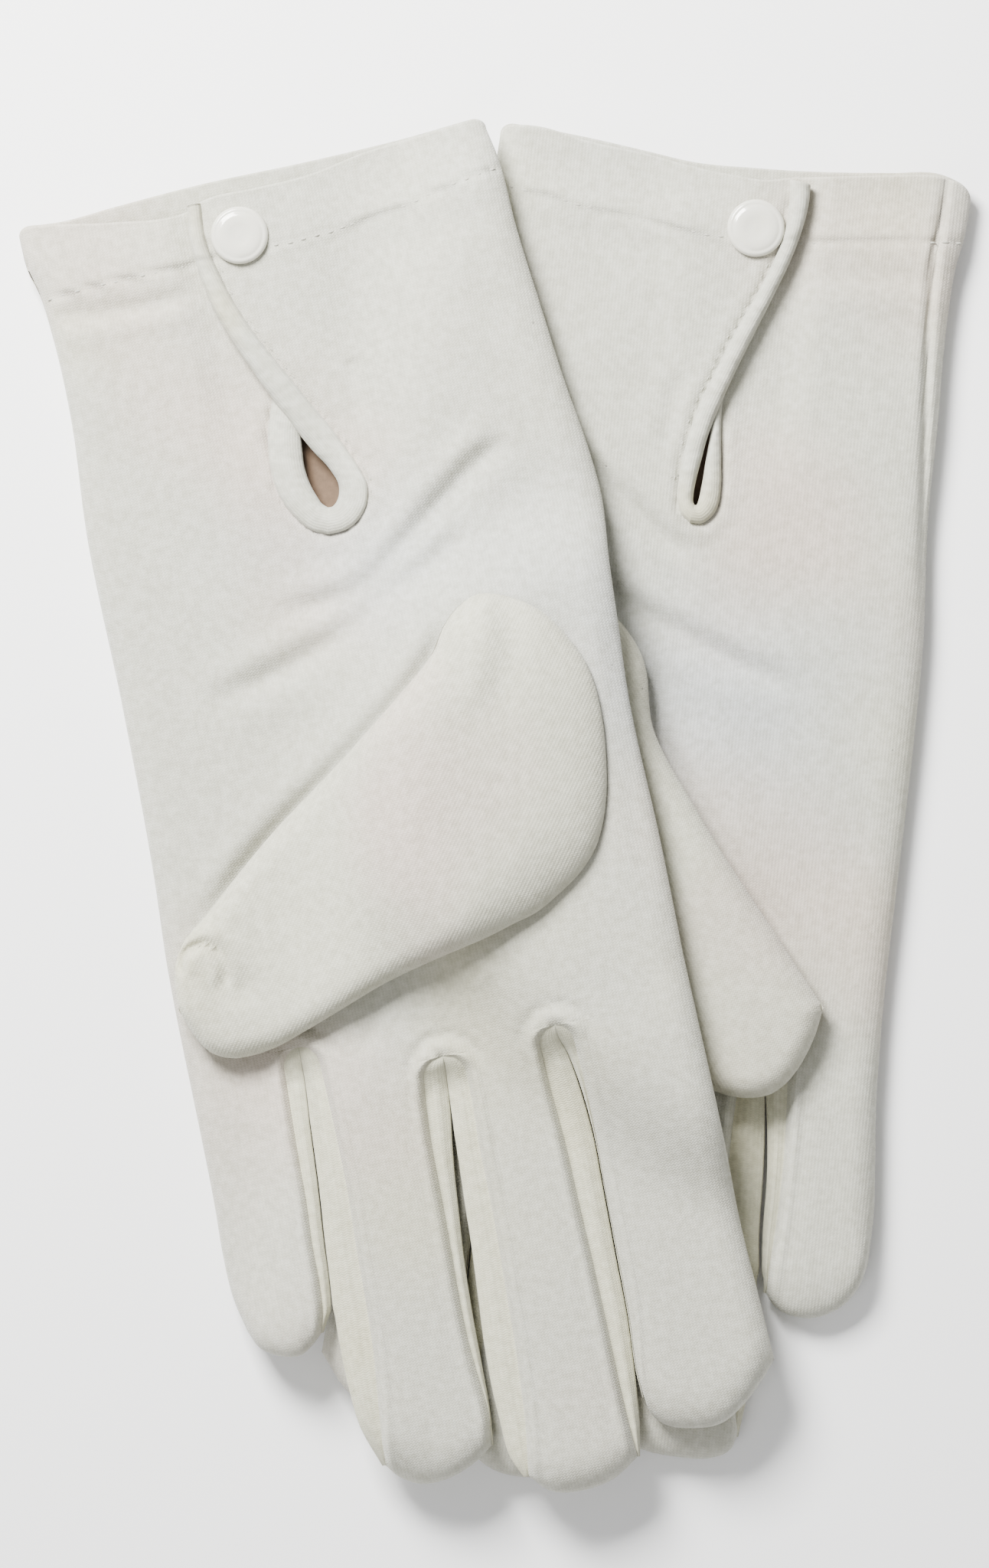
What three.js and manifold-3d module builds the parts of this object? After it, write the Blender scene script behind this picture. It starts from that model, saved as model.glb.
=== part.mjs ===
// A pair of white wrist-length formal gloves, laid flat with both palms up and the left glove across the right.
// Millimetres, +Z up. The gloves rest on the plane z = 0, the cuffs point to +Y and the fingers to -Y.
// Each glove is sewn from thin knit panels: a palm and a back, a thumb, and fourchettes between the fingers.
// A slit in the palm at the wrist ends in a keyhole and closes with a plastic snap under a flap.
import * as THREE from "three";
import { mergeVertices } from "three/addons/utils/BufferGeometryUtils.js";
import Module from "manifold-3d";

const wasm = await Module();
wasm.setup();

// ---- Fabric and seams ----
const FABRIC = 0.8; // thickness of the knit
const SEAM = 0.4; // gap left where two panels are sewn edge to edge
const HAND_DEPTH = 7.0; // palm to back of the empty hand, lying flat
const THUMB_DEPTH = 7.0; // thickness of the empty thumb, lying flat
const EDGE_ROLL = 4.5; // how far in from its side edge a panel starts to turn down
const TIP_DEPTH = 2.2; // thickness left at a fingertip, where the panels meet

// ---- The hand, as (across, along) from the middle of the cuff towards the index side and the fingertips ----
const KNUCKLES = 165; // cuff to the line where the fingers start
const LITTLE_SIDE = -45.3; // outer edge of the little finger at the knuckles
const CUFF_WIDTH = 90;
const HEEL_BULGE = 2.2; // extra width over the thumb's root on the index side
const WAIST = 2.6; // how far the little-finger side draws in above the cuff
const FINGER_GAP = 1.1; // clear space between two fingers
// From the little finger to the index: width at the knuckles, length past them, lean of its index-side edge in degrees.
const FINGERS = [
  { name: "little", width: 20.9, length: 50.5, lean: -4.6 },
  { name: "ring", width: 24.5, length: 78.5, lean: -3.6 },
  { name: "middle", width: 23.9, length: 85.5, lean: -1.3 },
  { name: "index", width: 22.3, length: 77.5, lean: 1.0 },
];
const TIP_ROUND = 8; // radius of a fingertip's corners
const PANEL_SHARE = 46; // degrees round the side where a palm or back panel ends and a fourchette starts

// ---- The thumb, folded across the palm, measured from the index-side edge and the knuckles ----
// Its two edges, from the root at the index side to the tip, each as (across, along).
const THUMB_UPPER = [[-6.6, -61], [-9, -68.5], [-13.6, -75], [-21.6, -80], [-30.6, -76.5], [-40.6, -66.5],
  [-56.6, -54.5], [-71.6, -44], [-83.6, -34], [-90.6, -28], [-93.4, -22.5]];
const THUMB_LOWER = [[-6.6, -46], [-9.2, -37], [-13.6, -29.5], [-20.6, -24], [-29.6, -20], [-41.6, -17],
  [-55.6, -13.7], [-70.6, -8.5], [-80.6, -5.8], [-88, -6.5], [-92.9, -12.5]];
const THUMB_HOLE = { across: -19.6, along: -53, width: 15, length: 40 };
const THUMB_GAP = 1.4; // the thumb lies this far clear of the palm

// ---- The wrist opening ----
const VENT_LENGTH = 66; // cuff to the bottom of the keyhole
const BINDING_WIDTH = 3.2;
const BINDING_DEPTH = 1.8;
const HINGE_AT_CUFF = 15.5; // across-position of the line that the flap folds on, at the cuff
const HINGE_AT_KEYHOLE = 11.6; // the same line beside the keyhole
const FLAP_LENGTH = 60;
const FLAP_RAISE = 1.0; // how far the flap's free edge stands above the palm
const UNDERLAP_DROP = 3.1; // how far the lower side of the slit lies below the palm
// Middle lines of the two bound edges, cuff to keyhole: the flap's on top and the underlap's below it.
const FLAP_EDGE = [[-12.7, 3.4], [-12.4, 10], [-11.3, 18], [-9, 26], [-5.6, 34], [-2, 41], [2, 48], [5.4, 54], [7, 59.6]];
const UNDERLAP_EDGE = [[3.4, 2.4], [2.8, 12], [1.6, 22], [-0.5, 32], [-2.6, 40], [-4.6, 46.5], [-5.9, 53], [-5.6, 59],
  [-3.6, 63.6], [0, 66], [3.6, 66], [6.6, 63.4]];

// ---- The snap ----
const SNAP = { across: -4.7, along: 10.2 };
const CAP_RADIUS = 5.35;
const CAP_DOME = 1.3;
const PRONG_RADIUS = 0.8;
const SOCKET_RADIUS = 4.6;
const SOCKET_DEPTH = 1.8;
const SOCKET_WELL = 1.1; // depth of the recess that takes the stud
const STUD_DISC = 0.6;
const STUD_KNOB_RADIUS = 2.3;
const STUD_KNOB_HEIGHT = 1.0;
const SNAP_GAP = 0.3; // clearance between the stacked pieces of the snap

// ---- How the two gloves lie ----
const LEFT_PLACE = { x: -44.7, y: 112.6, turn: 11.5 };
const RIGHT_PLACE = { x: 45.0, y: 113.7, turn: -6.6 };
const RIGHT_LITTLE_SPLAY = 3.6; // extra lean of the right glove's little finger, in degrees
const STACK_GAP = 0.6; // the upper glove lies this far clear of the lower one
const RAMP = 20; // distance over which the upper glove comes down to the floor beside the lower one
const RAMP_START = 2; // the ramp starts this far outside the lower glove's edge
const FLOOR_GAP = 0.3; // the upper glove's own clearance from the floor

const KNIT = new THREE.MeshStandardMaterial({ color: 0xeeece6, roughness: 0.9, metalness: 0 });
const GUSSET = new THREE.MeshStandardMaterial({ color: 0xe9e7d6, roughness: 0.92, metalness: 0 });
const TRIM = new THREE.MeshStandardMaterial({ color: 0xf1f1ec, roughness: 0.85, metalness: 0 });
const PLASTIC = new THREE.MeshStandardMaterial({ color: 0xf0efe6, roughness: 0.22, metalness: 0 });

const { clamp, degToRad, lerp } = THREE.MathUtils;
const ease = (t) => THREE.MathUtils.smoothstep(t, 0, 1);
const leanOf = (degrees) => Math.tan(degToRad(degrees));

// ---------- Solids ----------

// A geometry as a manifold-3d solid. Only positions matter, and shared corners are merged.
function solidOf(geometry) {
  const bare = new THREE.BufferGeometry().setAttribute("position", geometry.getAttribute("position"));
  if (geometry.index) bare.setIndex(geometry.index);
  const merged = mergeVertices(bare, 1e-4);
  const made = new wasm.Manifold(new wasm.Mesh({
    numProp: 3,
    vertProperties: new Float32Array(merged.attributes.position.array),
    triVerts: new Uint32Array(merged.index.array),
  }));
  return made;
}

// The largest body of a solid, as a geometry. Offcuts that a cut leaves are dropped.
function geometryOf(solid) {
  const body = solid.decompose().reduce((a, b) => (b.volume() > a.volume() ? b : a));
  const mesh = body.getMesh();
  const positions = new Float32Array(mesh.numVert * 3);
  for (let i = 0; i < mesh.numVert; i++)
    positions.set(mesh.vertProperties.subarray(i * mesh.numProp, i * mesh.numProp + 3), i * 3);
  return new THREE.BufferGeometry()
    .setAttribute("position", new THREE.BufferAttribute(positions, 3))
    .setIndex(new THREE.BufferAttribute(mesh.triVerts, 1));
}

// A closed sheet between two surfaces, each a function of (across, along) from 0 to 1 that gives a point.
function sheet(outer, inner, across, along) {
  const columns = across + 1;
  const side = columns * (along + 1);
  const positions = [];
  for (const surface of [outer, inner])
    for (let j = 0; j <= along; j++)
      for (let i = 0; i <= across; i++) positions.push(...surface(i / across, j / along).toArray());
  const index = [];
  const quad = (a, b, c, d) => index.push(a, b, c, a, c, d);
  const at = (k, i, j) => k * side + j * columns + i;
  for (let j = 0; j < along; j++)
    for (let i = 0; i < across; i++) {
      quad(at(0, i, j), at(0, i + 1, j), at(0, i + 1, j + 1), at(0, i, j + 1));
      quad(at(1, i, j), at(1, i, j + 1), at(1, i + 1, j + 1), at(1, i + 1, j));
    }
  for (let i = 0; i < across; i++) {
    quad(at(0, i, 0), at(1, i, 0), at(1, i + 1, 0), at(0, i + 1, 0));
    quad(at(0, i, along), at(0, i + 1, along), at(1, i + 1, along), at(1, i, along));
  }
  for (let j = 0; j < along; j++) {
    quad(at(0, 0, j), at(0, 0, j + 1), at(1, 0, j + 1), at(1, 0, j));
    quad(at(0, across, j), at(1, across, j), at(1, across, j + 1), at(0, across, j + 1));
  }
  const geometry = new THREE.BufferGeometry()
    .setAttribute("position", new THREE.Float32BufferAttribute(positions, 3))
    .setIndex(index);
  if (signedVolume(geometry) < 0) geometry.setIndex(flipped(index));
  return geometry;
}

function flipped(index) {
  const turned = index.slice();
  for (let i = 0; i < turned.length; i += 3) [turned[i + 1], turned[i + 2]] = [turned[i + 2], turned[i + 1]];
  return turned;
}

function signedVolume(geometry) {
  const corner = [0, 1, 2].map(() => new THREE.Vector3());
  let total = 0;
  for (let i = 0; i < geometry.index.count; i += 3) {
    corner.forEach((p, k) => p.fromBufferAttribute(geometry.attributes.position, geometry.index.getX(i + k)));
    total += corner[0].dot(corner[1].cross(corner[2])) / 6;
  }
  return total;
}

// A vertical prism over an outline given as (across, along) points.
function prism(outline, low, high) {
  const shape = new THREE.Shape(outline.map(([u, v]) => new THREE.Vector2(u, -v)));
  const geometry = new THREE.ExtrudeGeometry(shape, { depth: high - low, bevelEnabled: false });
  geometry.translate(0, 0, low);
  return geometry;
}

function ellipseOutline(hole, sides = 16) {
  return Array.from({ length: sides }, (_, k) => {
    const angle = (2 * Math.PI * k) / sides;
    return [hole.across + (hole.width / 2) * Math.cos(angle), hole.along + (hole.length / 2) * Math.sin(angle)];
  });
}

// A flat-sided cord of oval section along a line of points.
function oval(points, width, depth, steps) {
  const section = new THREE.Shape();
  section.absellipse(0, 0, depth / 2, width / 2, 0, 2 * Math.PI);
  const path = new THREE.CatmullRomCurve3(points, false, "centripetal");
  return new THREE.ExtrudeGeometry(section, { steps, extrudePath: path, curveSegments: 3, bevelEnabled: false });
}

function turned(profile, segments = 16) {
  const geometry = new THREE.LatheGeometry(profile.map(([r, z]) => new THREE.Vector2(r, z)), segments);
  return geometry.rotateX(Math.PI / 2); // the lathe's own axis is Y
}

// ---------- Sections of a flat, round-edged tube ----------

// A point on a section at a turn of q degrees: 0 to 90 rolls up the far edge, 90 to 270 crosses the top, 270 to 360
// rolls down the near edge. Negative q, and q over 360, run under the tube. The section has a centre, a unit direction
// across, a half width w, a half depth h, an edge roll r and a middle height m.
function onSection(section, q, inset) {
  const wrapped = q > 360 ? 720 - q : q;
  const under = q < 0 || q > 360;
  const turn = Math.abs(wrapped);
  const roll = Math.min(section.r, section.w * 0.9);
  const straight = section.w - roll;
  let across;
  let rise;
  if (turn < 90 || turn > 270) {
    const angle = degToRad(turn < 90 ? turn : 360 - turn);
    across = (turn < 90 ? 1 : -1) * (straight + (roll - inset) * Math.cos(angle));
    rise = SEAM / 2 + (section.h - inset - SEAM / 2) * Math.sin(angle);
  } else {
    across = straight * (1 - (turn - 90) / 90);
    rise = section.h - inset;
  }
  return {
    u: section.centre.x + section.direction.x * across,
    v: section.centre.y + section.direction.y * across,
    z: section.m + (under ? -rise : rise),
  };
}

// The part of a tube's skin between two turns, as a closed sheet. change(u, v) moves it up or down.
function skin(sectionAt, from, to, across, along, change = () => 0) {
  const surface = (inset) => (a, b) => {
    const p = onSection(sectionAt(b), lerp(from, to, a), inset);
    return new THREE.Vector3(p.u, -p.v, p.z + change(p.u, p.v));
  };
  return sheet(surface(0), surface(FABRIC), across, along);
}
const TOP = [0, 360];
const BOTTOM = [0, -360];

// ---------- The glove's outline ----------

// The edges between the fingers, from the little-finger side to the index side: their place at the knuckles and lean.
function fingerEdges(littleSplay) {
  const edges = [{ at: LITTLE_SIDE, lean: leanOf(-littleSplay) }];
  for (const [k, finger] of FINGERS.entries()) {
    const start = edges[edges.length - 1].at;
    const splay = k === 0 ? littleSplay : 0;
    const gap = k < FINGERS.length - 1 ? FINGER_GAP : 0;
    edges.push({ at: start + finger.width + gap, lean: leanOf(finger.lean), splayed: leanOf(finger.lean - splay) });
  }
  return edges;
}
const INDEX_SIDE = fingerEdges(0)[FINGERS.length].at;

const littleEdge = (v) => {
  const t = v / KNUCKLES;
  return lerp(-CUFF_WIDTH / 2, LITTLE_SIDE, ease(t)) + WAIST * ease(t * 6) * (1 - ease((t - 0.2) / 0.8));
};
const indexEdge = (v) => {
  const t = v / KNUCKLES;
  return lerp(CUFF_WIDTH / 2, INDEX_SIDE, ease(t * 2)) + HEEL_BULGE * ease(t * 2.6) * (1 - ease((t - 0.38) / 0.25));
};

const ACROSS = new THREE.Vector2(1, 0);

function handSection(b) {
  const v = b * (KNUCKLES - SEAM / 2);
  const centre = new THREE.Vector2((littleEdge(v) + indexEdge(v)) / 2, v);
  const w = (indexEdge(v) - littleEdge(v)) / 2;
  return { centre, direction: ACROSS, w, h: HAND_DEPTH / 2, r: EDGE_ROLL, m: HAND_DEPTH / 2 };
}

function fingerSection(finger, low, high) {
  const straight = finger.length - TIP_ROUND;
  const STRAIGHT_SHARE = 0.62; // share of the rows on the straight part
  const LAST = degToRad(78); // the tip's rounding stops here, and leaves a blunt end
  return (b) => {
    const angle = LAST * clamp((b - STRAIGHT_SHARE) / (1 - STRAIGHT_SHARE), 0, 1);
    const run = straight * clamp(b / STRAIGHT_SHARE, 0, 1) + (TIP_ROUND * Math.sin(angle)) / Math.sin(LAST);
    const v = KNUCKLES + SEAM / 2 + run;
    const left = low.at + (low.splayed ?? low.lean) * run;
    const right = high.at + (high.splayed ?? high.lean) * run;
    const fall = 1 - Math.cos(angle);
    const w = (right - left) / 2 - TIP_ROUND * fall * 0.8;
    const h = lerp(HAND_DEPTH, TIP_DEPTH, fall / (1 - Math.cos(LAST))) / 2;
    return { centre: new THREE.Vector2((left + right) / 2, v), direction: ACROSS, w, h, r: EDGE_ROLL, m: HAND_DEPTH / 2 };
  };
}

const THUMB_MIDDLE = HAND_DEPTH + THUMB_GAP + THUMB_DEPTH / 2;
const fromHeel = ([across, along]) => new THREE.Vector2(INDEX_SIDE + across, KNUCKLES + along);
const thumbUpper = THUMB_UPPER.map(fromHeel);
const thumbLower = THUMB_LOWER.map(fromHeel);
const thumbHole = { ...THUMB_HOLE, across: INDEX_SIDE + THUMB_HOLE.across, along: KNUCKLES + THUMB_HOLE.along };

function thumbSection(b) {
  const place = b * (thumbUpper.length - 1);
  const k = Math.min(Math.floor(place), thumbUpper.length - 2);
  const upper = thumbUpper[k].clone().lerp(thumbUpper[k + 1], place - k);
  const lower = thumbLower[k].clone().lerp(thumbLower[k + 1], place - k);
  const w = upper.distanceTo(lower) / 2;
  const fullness = Math.sqrt(clamp(b / 0.16, 0, 1)) * Math.sqrt(clamp((1 - b) / 0.16, 0, 1));
  return {
    centre: upper.clone().add(lower).multiplyScalar(0.5),
    direction: upper.clone().sub(lower).normalize(),
    w,
    h: lerp(TIP_DEPTH, THUMB_DEPTH, fullness) / 2,
    r: EDGE_ROLL,
    m: THUMB_MIDDLE - (1 - fullness) * 0.5 * (THUMB_DEPTH - TIP_DEPTH) * 0.5,
  };
}

// ---------- How the upper glove drapes ----------

function distanceOutside(point, outline) {
  let nearest = Infinity;
  let inside = false;
  outline.forEach((a, k) => {
    const b = outline[(k + 1) % outline.length];
    const along = b.clone().sub(a);
    const t = clamp(point.clone().sub(a).dot(along) / along.lengthSq(), 0, 1);
    nearest = Math.min(nearest, point.distanceTo(a.clone().addScaledVector(along, t)));
    if (a.y > point.y !== b.y > point.y && point.x < ((b.x - a.x) * (point.y - a.y)) / (b.y - a.y) + a.x)
      inside = !inside;
  });
  return inside ? 0 : nearest;
}

function gloveOutline(littleSplay) {
  const edges = fingerEdges(littleSplay);
  const rows = [0, 0.2, 0.4, 0.6, 0.8, 1].map((t) => t * KNUCKLES);
  const points = rows.map((v) => new THREE.Vector2(littleEdge(v), v));
  FINGERS.forEach((finger, k) => {
    const section = fingerSection(finger, edges[k], edges[k + 1]);
    const sides = [-1, -1, 1, 1];
    [0.62, 0.9, 0.9, 0.62].forEach((b, n) => {
      const s = section(b);
      points.push(new THREE.Vector2(s.centre.x + sides[n] * s.w, s.centre.y));
    });
  });
  rows.reverse().forEach((v) => points.push(new THREE.Vector2(indexEdge(v), v)));
  return points;
}

const toPair = (place, hand, u, v) => {
  const turn = degToRad(place.turn);
  const x = hand * u;
  const y = -v;
  return new THREE.Vector2(
    place.x + x * Math.cos(turn) - y * Math.sin(turn),
    place.y + x * Math.sin(turn) + y * Math.cos(turn),
  );
};

// The height of the left glove's underside, which follows the right glove and its thumb below it.
const underneath = gloveOutline(RIGHT_LITTLE_SPLAY).map((p) => toPair(RIGHT_PLACE, -1, p.x, p.y));
const underneathThumb = [...thumbUpper, ...thumbLower.slice().reverse()].map((p) => toPair(RIGHT_PLACE, -1, p.x, p.y));
const climb = (distance) => ease(1 - (distance - RAMP_START) / RAMP);
function drape(u, v) {
  const point = toPair(LEFT_PLACE, 1, u, v);
  return FLOOR_GAP
    + (HAND_DEPTH + STACK_GAP) * climb(distanceOutside(point, underneath))
    + (THUMB_DEPTH + THUMB_GAP) * climb(distanceOutside(point, underneathThumb));
}

// ---------- One glove ----------

const hingeLine = (v) => lerp(HINGE_AT_CUFF, HINGE_AT_KEYHOLE, v / FLAP_LENGTH);
const fade = (v) => 1 - ease((v - VENT_LENGTH * 0.54) / (VENT_LENGTH * 0.36));
const underlapDrop = (u, v) => UNDERLAP_DROP * ease((u + 34) / 20) * (1 - ease((u - 5) / 6)) * fade(v);
const flapRaise = (a, v) => FLAP_RAISE * (1 - ease((a - 0.75) / 0.25)) * fade(v);

function flapEdgeAt(v) {
  const k = clamp(FLAP_EDGE.findIndex(([, along]) => along > v), 1, FLAP_EDGE.length - 1);
  const [from, to] = v > FLAP_EDGE[FLAP_EDGE.length - 1][1] ? FLAP_EDGE.slice(-2) : [FLAP_EDGE[k - 1], FLAP_EDGE[k]];
  return lerp(from[0], to[0], clamp((v - from[1]) / (to[1] - from[1]), 0, 1));
}

function buildGlove(side, hand, lift, littleSplay) {
  const glove = new THREE.Group();
  const add = (name, geometry, material, x = 0, y = 0, z = 0) => {
    const mesh = new THREE.Mesh(geometry, material);
    mesh.name = `${side}_${name}`;
    mesh.position.set(x, y, z);
    glove.add(mesh);
  };
  const lower = (u, v) => lift(u, v) - underlapDrop(u, v);
  const bindingLine = (points, height) => points.map(([u, v]) => new THREE.Vector3(u, -v, height(u, v)));
  const flapLine = bindingLine(FLAP_EDGE, (u, v) => HAND_DEPTH - FABRIC / 2 + lift(u, v) + flapRaise(0, v));
  const underlapLine = bindingLine(UNDERLAP_EDGE, (u, v) => HAND_DEPTH - FABRIC / 2 + lower(u, v));
  const cord = (line, clearance) =>
    solidOf(oval(line, BINDING_WIDTH + 2 * clearance, BINDING_DEPTH + 2 * clearance, line.length + 3));
  const flapBinding = cord(flapLine, 0);
  const underlapBinding = cord(underlapLine, 0).subtract(cord(flapLine, SEAM));
  const prongHole = (radius) => solidOf(
    new THREE.CylinderGeometry(radius, radius, 4 * HAND_DEPTH, 16)
      .rotateX(Math.PI / 2)
      .translate(SNAP.across, -SNAP.along, HAND_DEPTH),
  );
  const prongClear = prongHole(PRONG_RADIUS + SNAP_GAP);

  // The palm: one panel from cuff to knuckles, cut for the wrist slit and for the thumb.
  const slit = [[UNDERLAP_EDGE[0][0], -6], ...UNDERLAP_EDGE, [HINGE_AT_KEYHOLE + SEAM, FLAP_LENGTH + 2],
    [HINGE_AT_CUFF + SEAM, 0], [HINGE_AT_CUFF + SEAM, -6]];
  const tall = [-HAND_DEPTH, 8 * HAND_DEPTH];
  const palm = solidOf(skin(handSection, ...TOP, 14, 15, lower))
    .subtract(solidOf(prism(slit, ...tall)))
    .subtract(solidOf(prism(ellipseOutline(thumbHole), ...tall)))
    .subtract(cord(underlapLine, SEAM))
    .subtract(prongClear);
  add("palm_panel", geometryOf(palm), KNIT);
  add("back_panel", skin(handSection, ...BOTTOM, 14, 15, lift), KNIT);

  // The flap over the slit, with its bound edge.
  const flapSurface = (inset) => (a, b) => {
    const v = b * FLAP_LENGTH + 1;
    const u = lerp(flapEdgeAt(v), hingeLine(v), a);
    return new THREE.Vector3(u, -v, HAND_DEPTH - inset + lift(u, v) + flapRaise(a, v));
  };
  const flap = solidOf(sheet(flapSurface(0), flapSurface(FABRIC), 4, 9))
    .subtract(cord(flapLine, SEAM))
    .subtract(cord(underlapLine, SEAM))
    .subtract(prongClear);
  add("wrist_flap", geometryOf(flap), KNIT);
  add("flap_binding", geometryOf(flapBinding), TRIM);
  add("slit_binding", geometryOf(underlapBinding), TRIM);

  // The snap: cap and socket on the flap, stud and back on the underlap.
  const here = lift(SNAP.across, SNAP.along);
  const flapTop = HAND_DEPTH + here + FLAP_RAISE;
  const underlapTop = HAND_DEPTH + here - UNDERLAP_DROP;
  const capAt = (name, z, geometry) => add(name, geometry, PLASTIC, SNAP.across, -SNAP.along, z);
  const prong = FABRIC + 2 * SNAP_GAP + 0.4;
  const capProfile = [[0, -prong], [PRONG_RADIUS, -prong], [PRONG_RADIUS, SNAP_GAP], [CAP_RADIUS, SNAP_GAP],
    [CAP_RADIUS, SNAP_GAP + 0.45], [CAP_RADIUS * 0.82, SNAP_GAP + CAP_DOME * 0.82], [0, SNAP_GAP + CAP_DOME]];
  const socketProfile = [[PRONG_RADIUS + SNAP_GAP, 0], [SOCKET_RADIUS, 0], [SOCKET_RADIUS, -SOCKET_DEPTH],
    [STUD_KNOB_RADIUS + SNAP_GAP, -SOCKET_DEPTH], [STUD_KNOB_RADIUS + SNAP_GAP, SOCKET_WELL - SOCKET_DEPTH],
    [PRONG_RADIUS + SNAP_GAP, SOCKET_WELL - SOCKET_DEPTH]];
  const studProfile = [[PRONG_RADIUS + SNAP_GAP, 0], [SOCKET_RADIUS, 0], [SOCKET_RADIUS, STUD_DISC],
    [STUD_KNOB_RADIUS, STUD_DISC], [STUD_KNOB_RADIUS, STUD_DISC + STUD_KNOB_HEIGHT],
    [PRONG_RADIUS + SNAP_GAP, STUD_DISC + STUD_KNOB_HEIGHT]];
  const closed = (profile) => [...profile, profile[0]];
  const facingOut = (geometry) => {
    if (signedVolume(geometry) < 0) geometry.setIndex(flipped([...geometry.index.array]));
    return geometry;
  };
  capAt("snap_cap", flapTop, facingOut(turned(capProfile)));
  capAt("snap_socket", flapTop - FABRIC - SNAP_GAP, facingOut(turned(closed(socketProfile))));
  capAt("snap_stud", underlapTop + SNAP_GAP, facingOut(turned(closed(studProfile))));
  const backProfile = capProfile.map(([r, z]) => [r * (SOCKET_RADIUS / CAP_RADIUS), z < 0 ? z : Math.min(z, 1.3)]);
  const back = turned(backProfile).rotateX(Math.PI);
  capAt("snap_back", underlapTop - FABRIC, facingOut(back));

  // The thumb, folded across the palm, with its mouth over the hole in the palm.
  const mouth = solidOf(prism(ellipseOutline(thumbHole), ...tall));
  const thumbAlong = thumbUpper.length + 5;
  add("thumb_upper", skin(thumbSection, ...TOP, 7, thumbAlong, lift), KNIT);
  const thumbUnder = solidOf(skin(thumbSection, ...BOTTOM, 7, thumbAlong, lift)).subtract(mouth);
  add("thumb_under", geometryOf(thumbUnder), KNIT);

  // The fingers: a palm side and a back side each, and half a fourchette on each side that meets another finger.
  const edges = fingerEdges(littleSplay);
  FINGERS.forEach((finger, k) => {
    const inset = (edge, sign) => ({
      at: edge.at + (sign * FINGER_GAP) / 2,
      lean: edge.lean,
      splayed: k === 0 ? edge.splayed : undefined,
    });
    const low = k === 0 ? edges[0] : inset(edges[k], 1);
    const high = k === FINGERS.length - 1 ? edges[k + 1] : inset(edges[k + 1], -1);
    const section = fingerSection(finger, low, high);
    const from = k === FINGERS.length - 1 ? 0 : PANEL_SHARE;
    const to = k === 0 ? 360 : 360 - PANEL_SHARE;
    add(`${finger.name}_palm_side`, skin(section, from, to, 6, 10, lift), KNIT);
    add(`${finger.name}_back_side`, skin(section, -from, -to, 6, 10, lift), KNIT);
    const half = PANEL_SHARE - 7; // the seam's gap, as an angle
    const number = FINGERS.length - 1 - k; // fourchettes count from the index side
    if (k < FINGERS.length - 1)
      add(`fourchette_${number}_${finger.name}`, skin(section, -half, half, 2, 10, lift), GUSSET);
    if (k > 0)
      add(`fourchette_${number + 1}_${finger.name}`, skin(section, 360 - half, 360 + half, 2, 10, lift), GUSSET);
  });
  glove.scale.x = hand;
  return glove;
}

// ---------- The pair ----------

const rightGlove = buildGlove("right", -1, () => 0, RIGHT_LITTLE_SPLAY);
const leftGlove = buildGlove("left", 1, drape, 0);
for (const [glove, place] of [[rightGlove, RIGHT_PLACE], [leftGlove, LEFT_PLACE]]) {
  glove.position.set(place.x, place.y, 0);
  glove.rotation.z = degToRad(place.turn);
}
const pair = new THREE.Group();
pair.add(rightGlove, leftGlove);

// The origin is the middle of the pair's box, on the surface that it rests on.
const box = new THREE.Box3().setFromObject(pair, true);
const middle = box.getCenter(new THREE.Vector3());
pair.position.set(-middle.x, -middle.y, -box.min.z);

export default pair;
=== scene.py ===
# A pair of white knit dress gloves, palms up, the left glove lying across the right one.
# Lengths are in millimetres in a glove's own plane until a mesh is made, and in metres from there on.
# u runs across a glove towards its index side, v runs from the cuff towards the fingertips.
import bpy
import math
import numpy as np
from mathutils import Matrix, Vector


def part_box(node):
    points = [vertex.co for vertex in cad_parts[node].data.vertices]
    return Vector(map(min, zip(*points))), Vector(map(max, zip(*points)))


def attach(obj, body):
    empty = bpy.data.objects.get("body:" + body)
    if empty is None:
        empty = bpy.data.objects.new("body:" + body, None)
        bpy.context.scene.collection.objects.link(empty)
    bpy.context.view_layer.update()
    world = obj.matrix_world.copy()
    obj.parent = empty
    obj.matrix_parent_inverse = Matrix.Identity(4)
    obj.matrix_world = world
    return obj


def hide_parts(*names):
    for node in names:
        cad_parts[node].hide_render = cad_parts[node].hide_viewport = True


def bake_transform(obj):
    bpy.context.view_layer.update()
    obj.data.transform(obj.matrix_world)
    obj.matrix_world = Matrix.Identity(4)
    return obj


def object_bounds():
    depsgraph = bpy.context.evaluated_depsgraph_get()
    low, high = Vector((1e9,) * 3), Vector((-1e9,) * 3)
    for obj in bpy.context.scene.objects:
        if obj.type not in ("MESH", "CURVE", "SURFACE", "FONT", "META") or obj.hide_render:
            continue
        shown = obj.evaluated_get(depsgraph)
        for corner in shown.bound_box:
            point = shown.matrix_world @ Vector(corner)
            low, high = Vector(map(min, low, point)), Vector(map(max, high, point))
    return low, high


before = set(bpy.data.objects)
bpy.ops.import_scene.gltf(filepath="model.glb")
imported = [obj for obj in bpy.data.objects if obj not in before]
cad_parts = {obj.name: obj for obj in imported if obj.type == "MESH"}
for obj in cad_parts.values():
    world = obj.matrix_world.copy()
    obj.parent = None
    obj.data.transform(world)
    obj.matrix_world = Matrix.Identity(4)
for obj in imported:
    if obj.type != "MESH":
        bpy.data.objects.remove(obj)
cad_box = [list(c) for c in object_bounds()]

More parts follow.
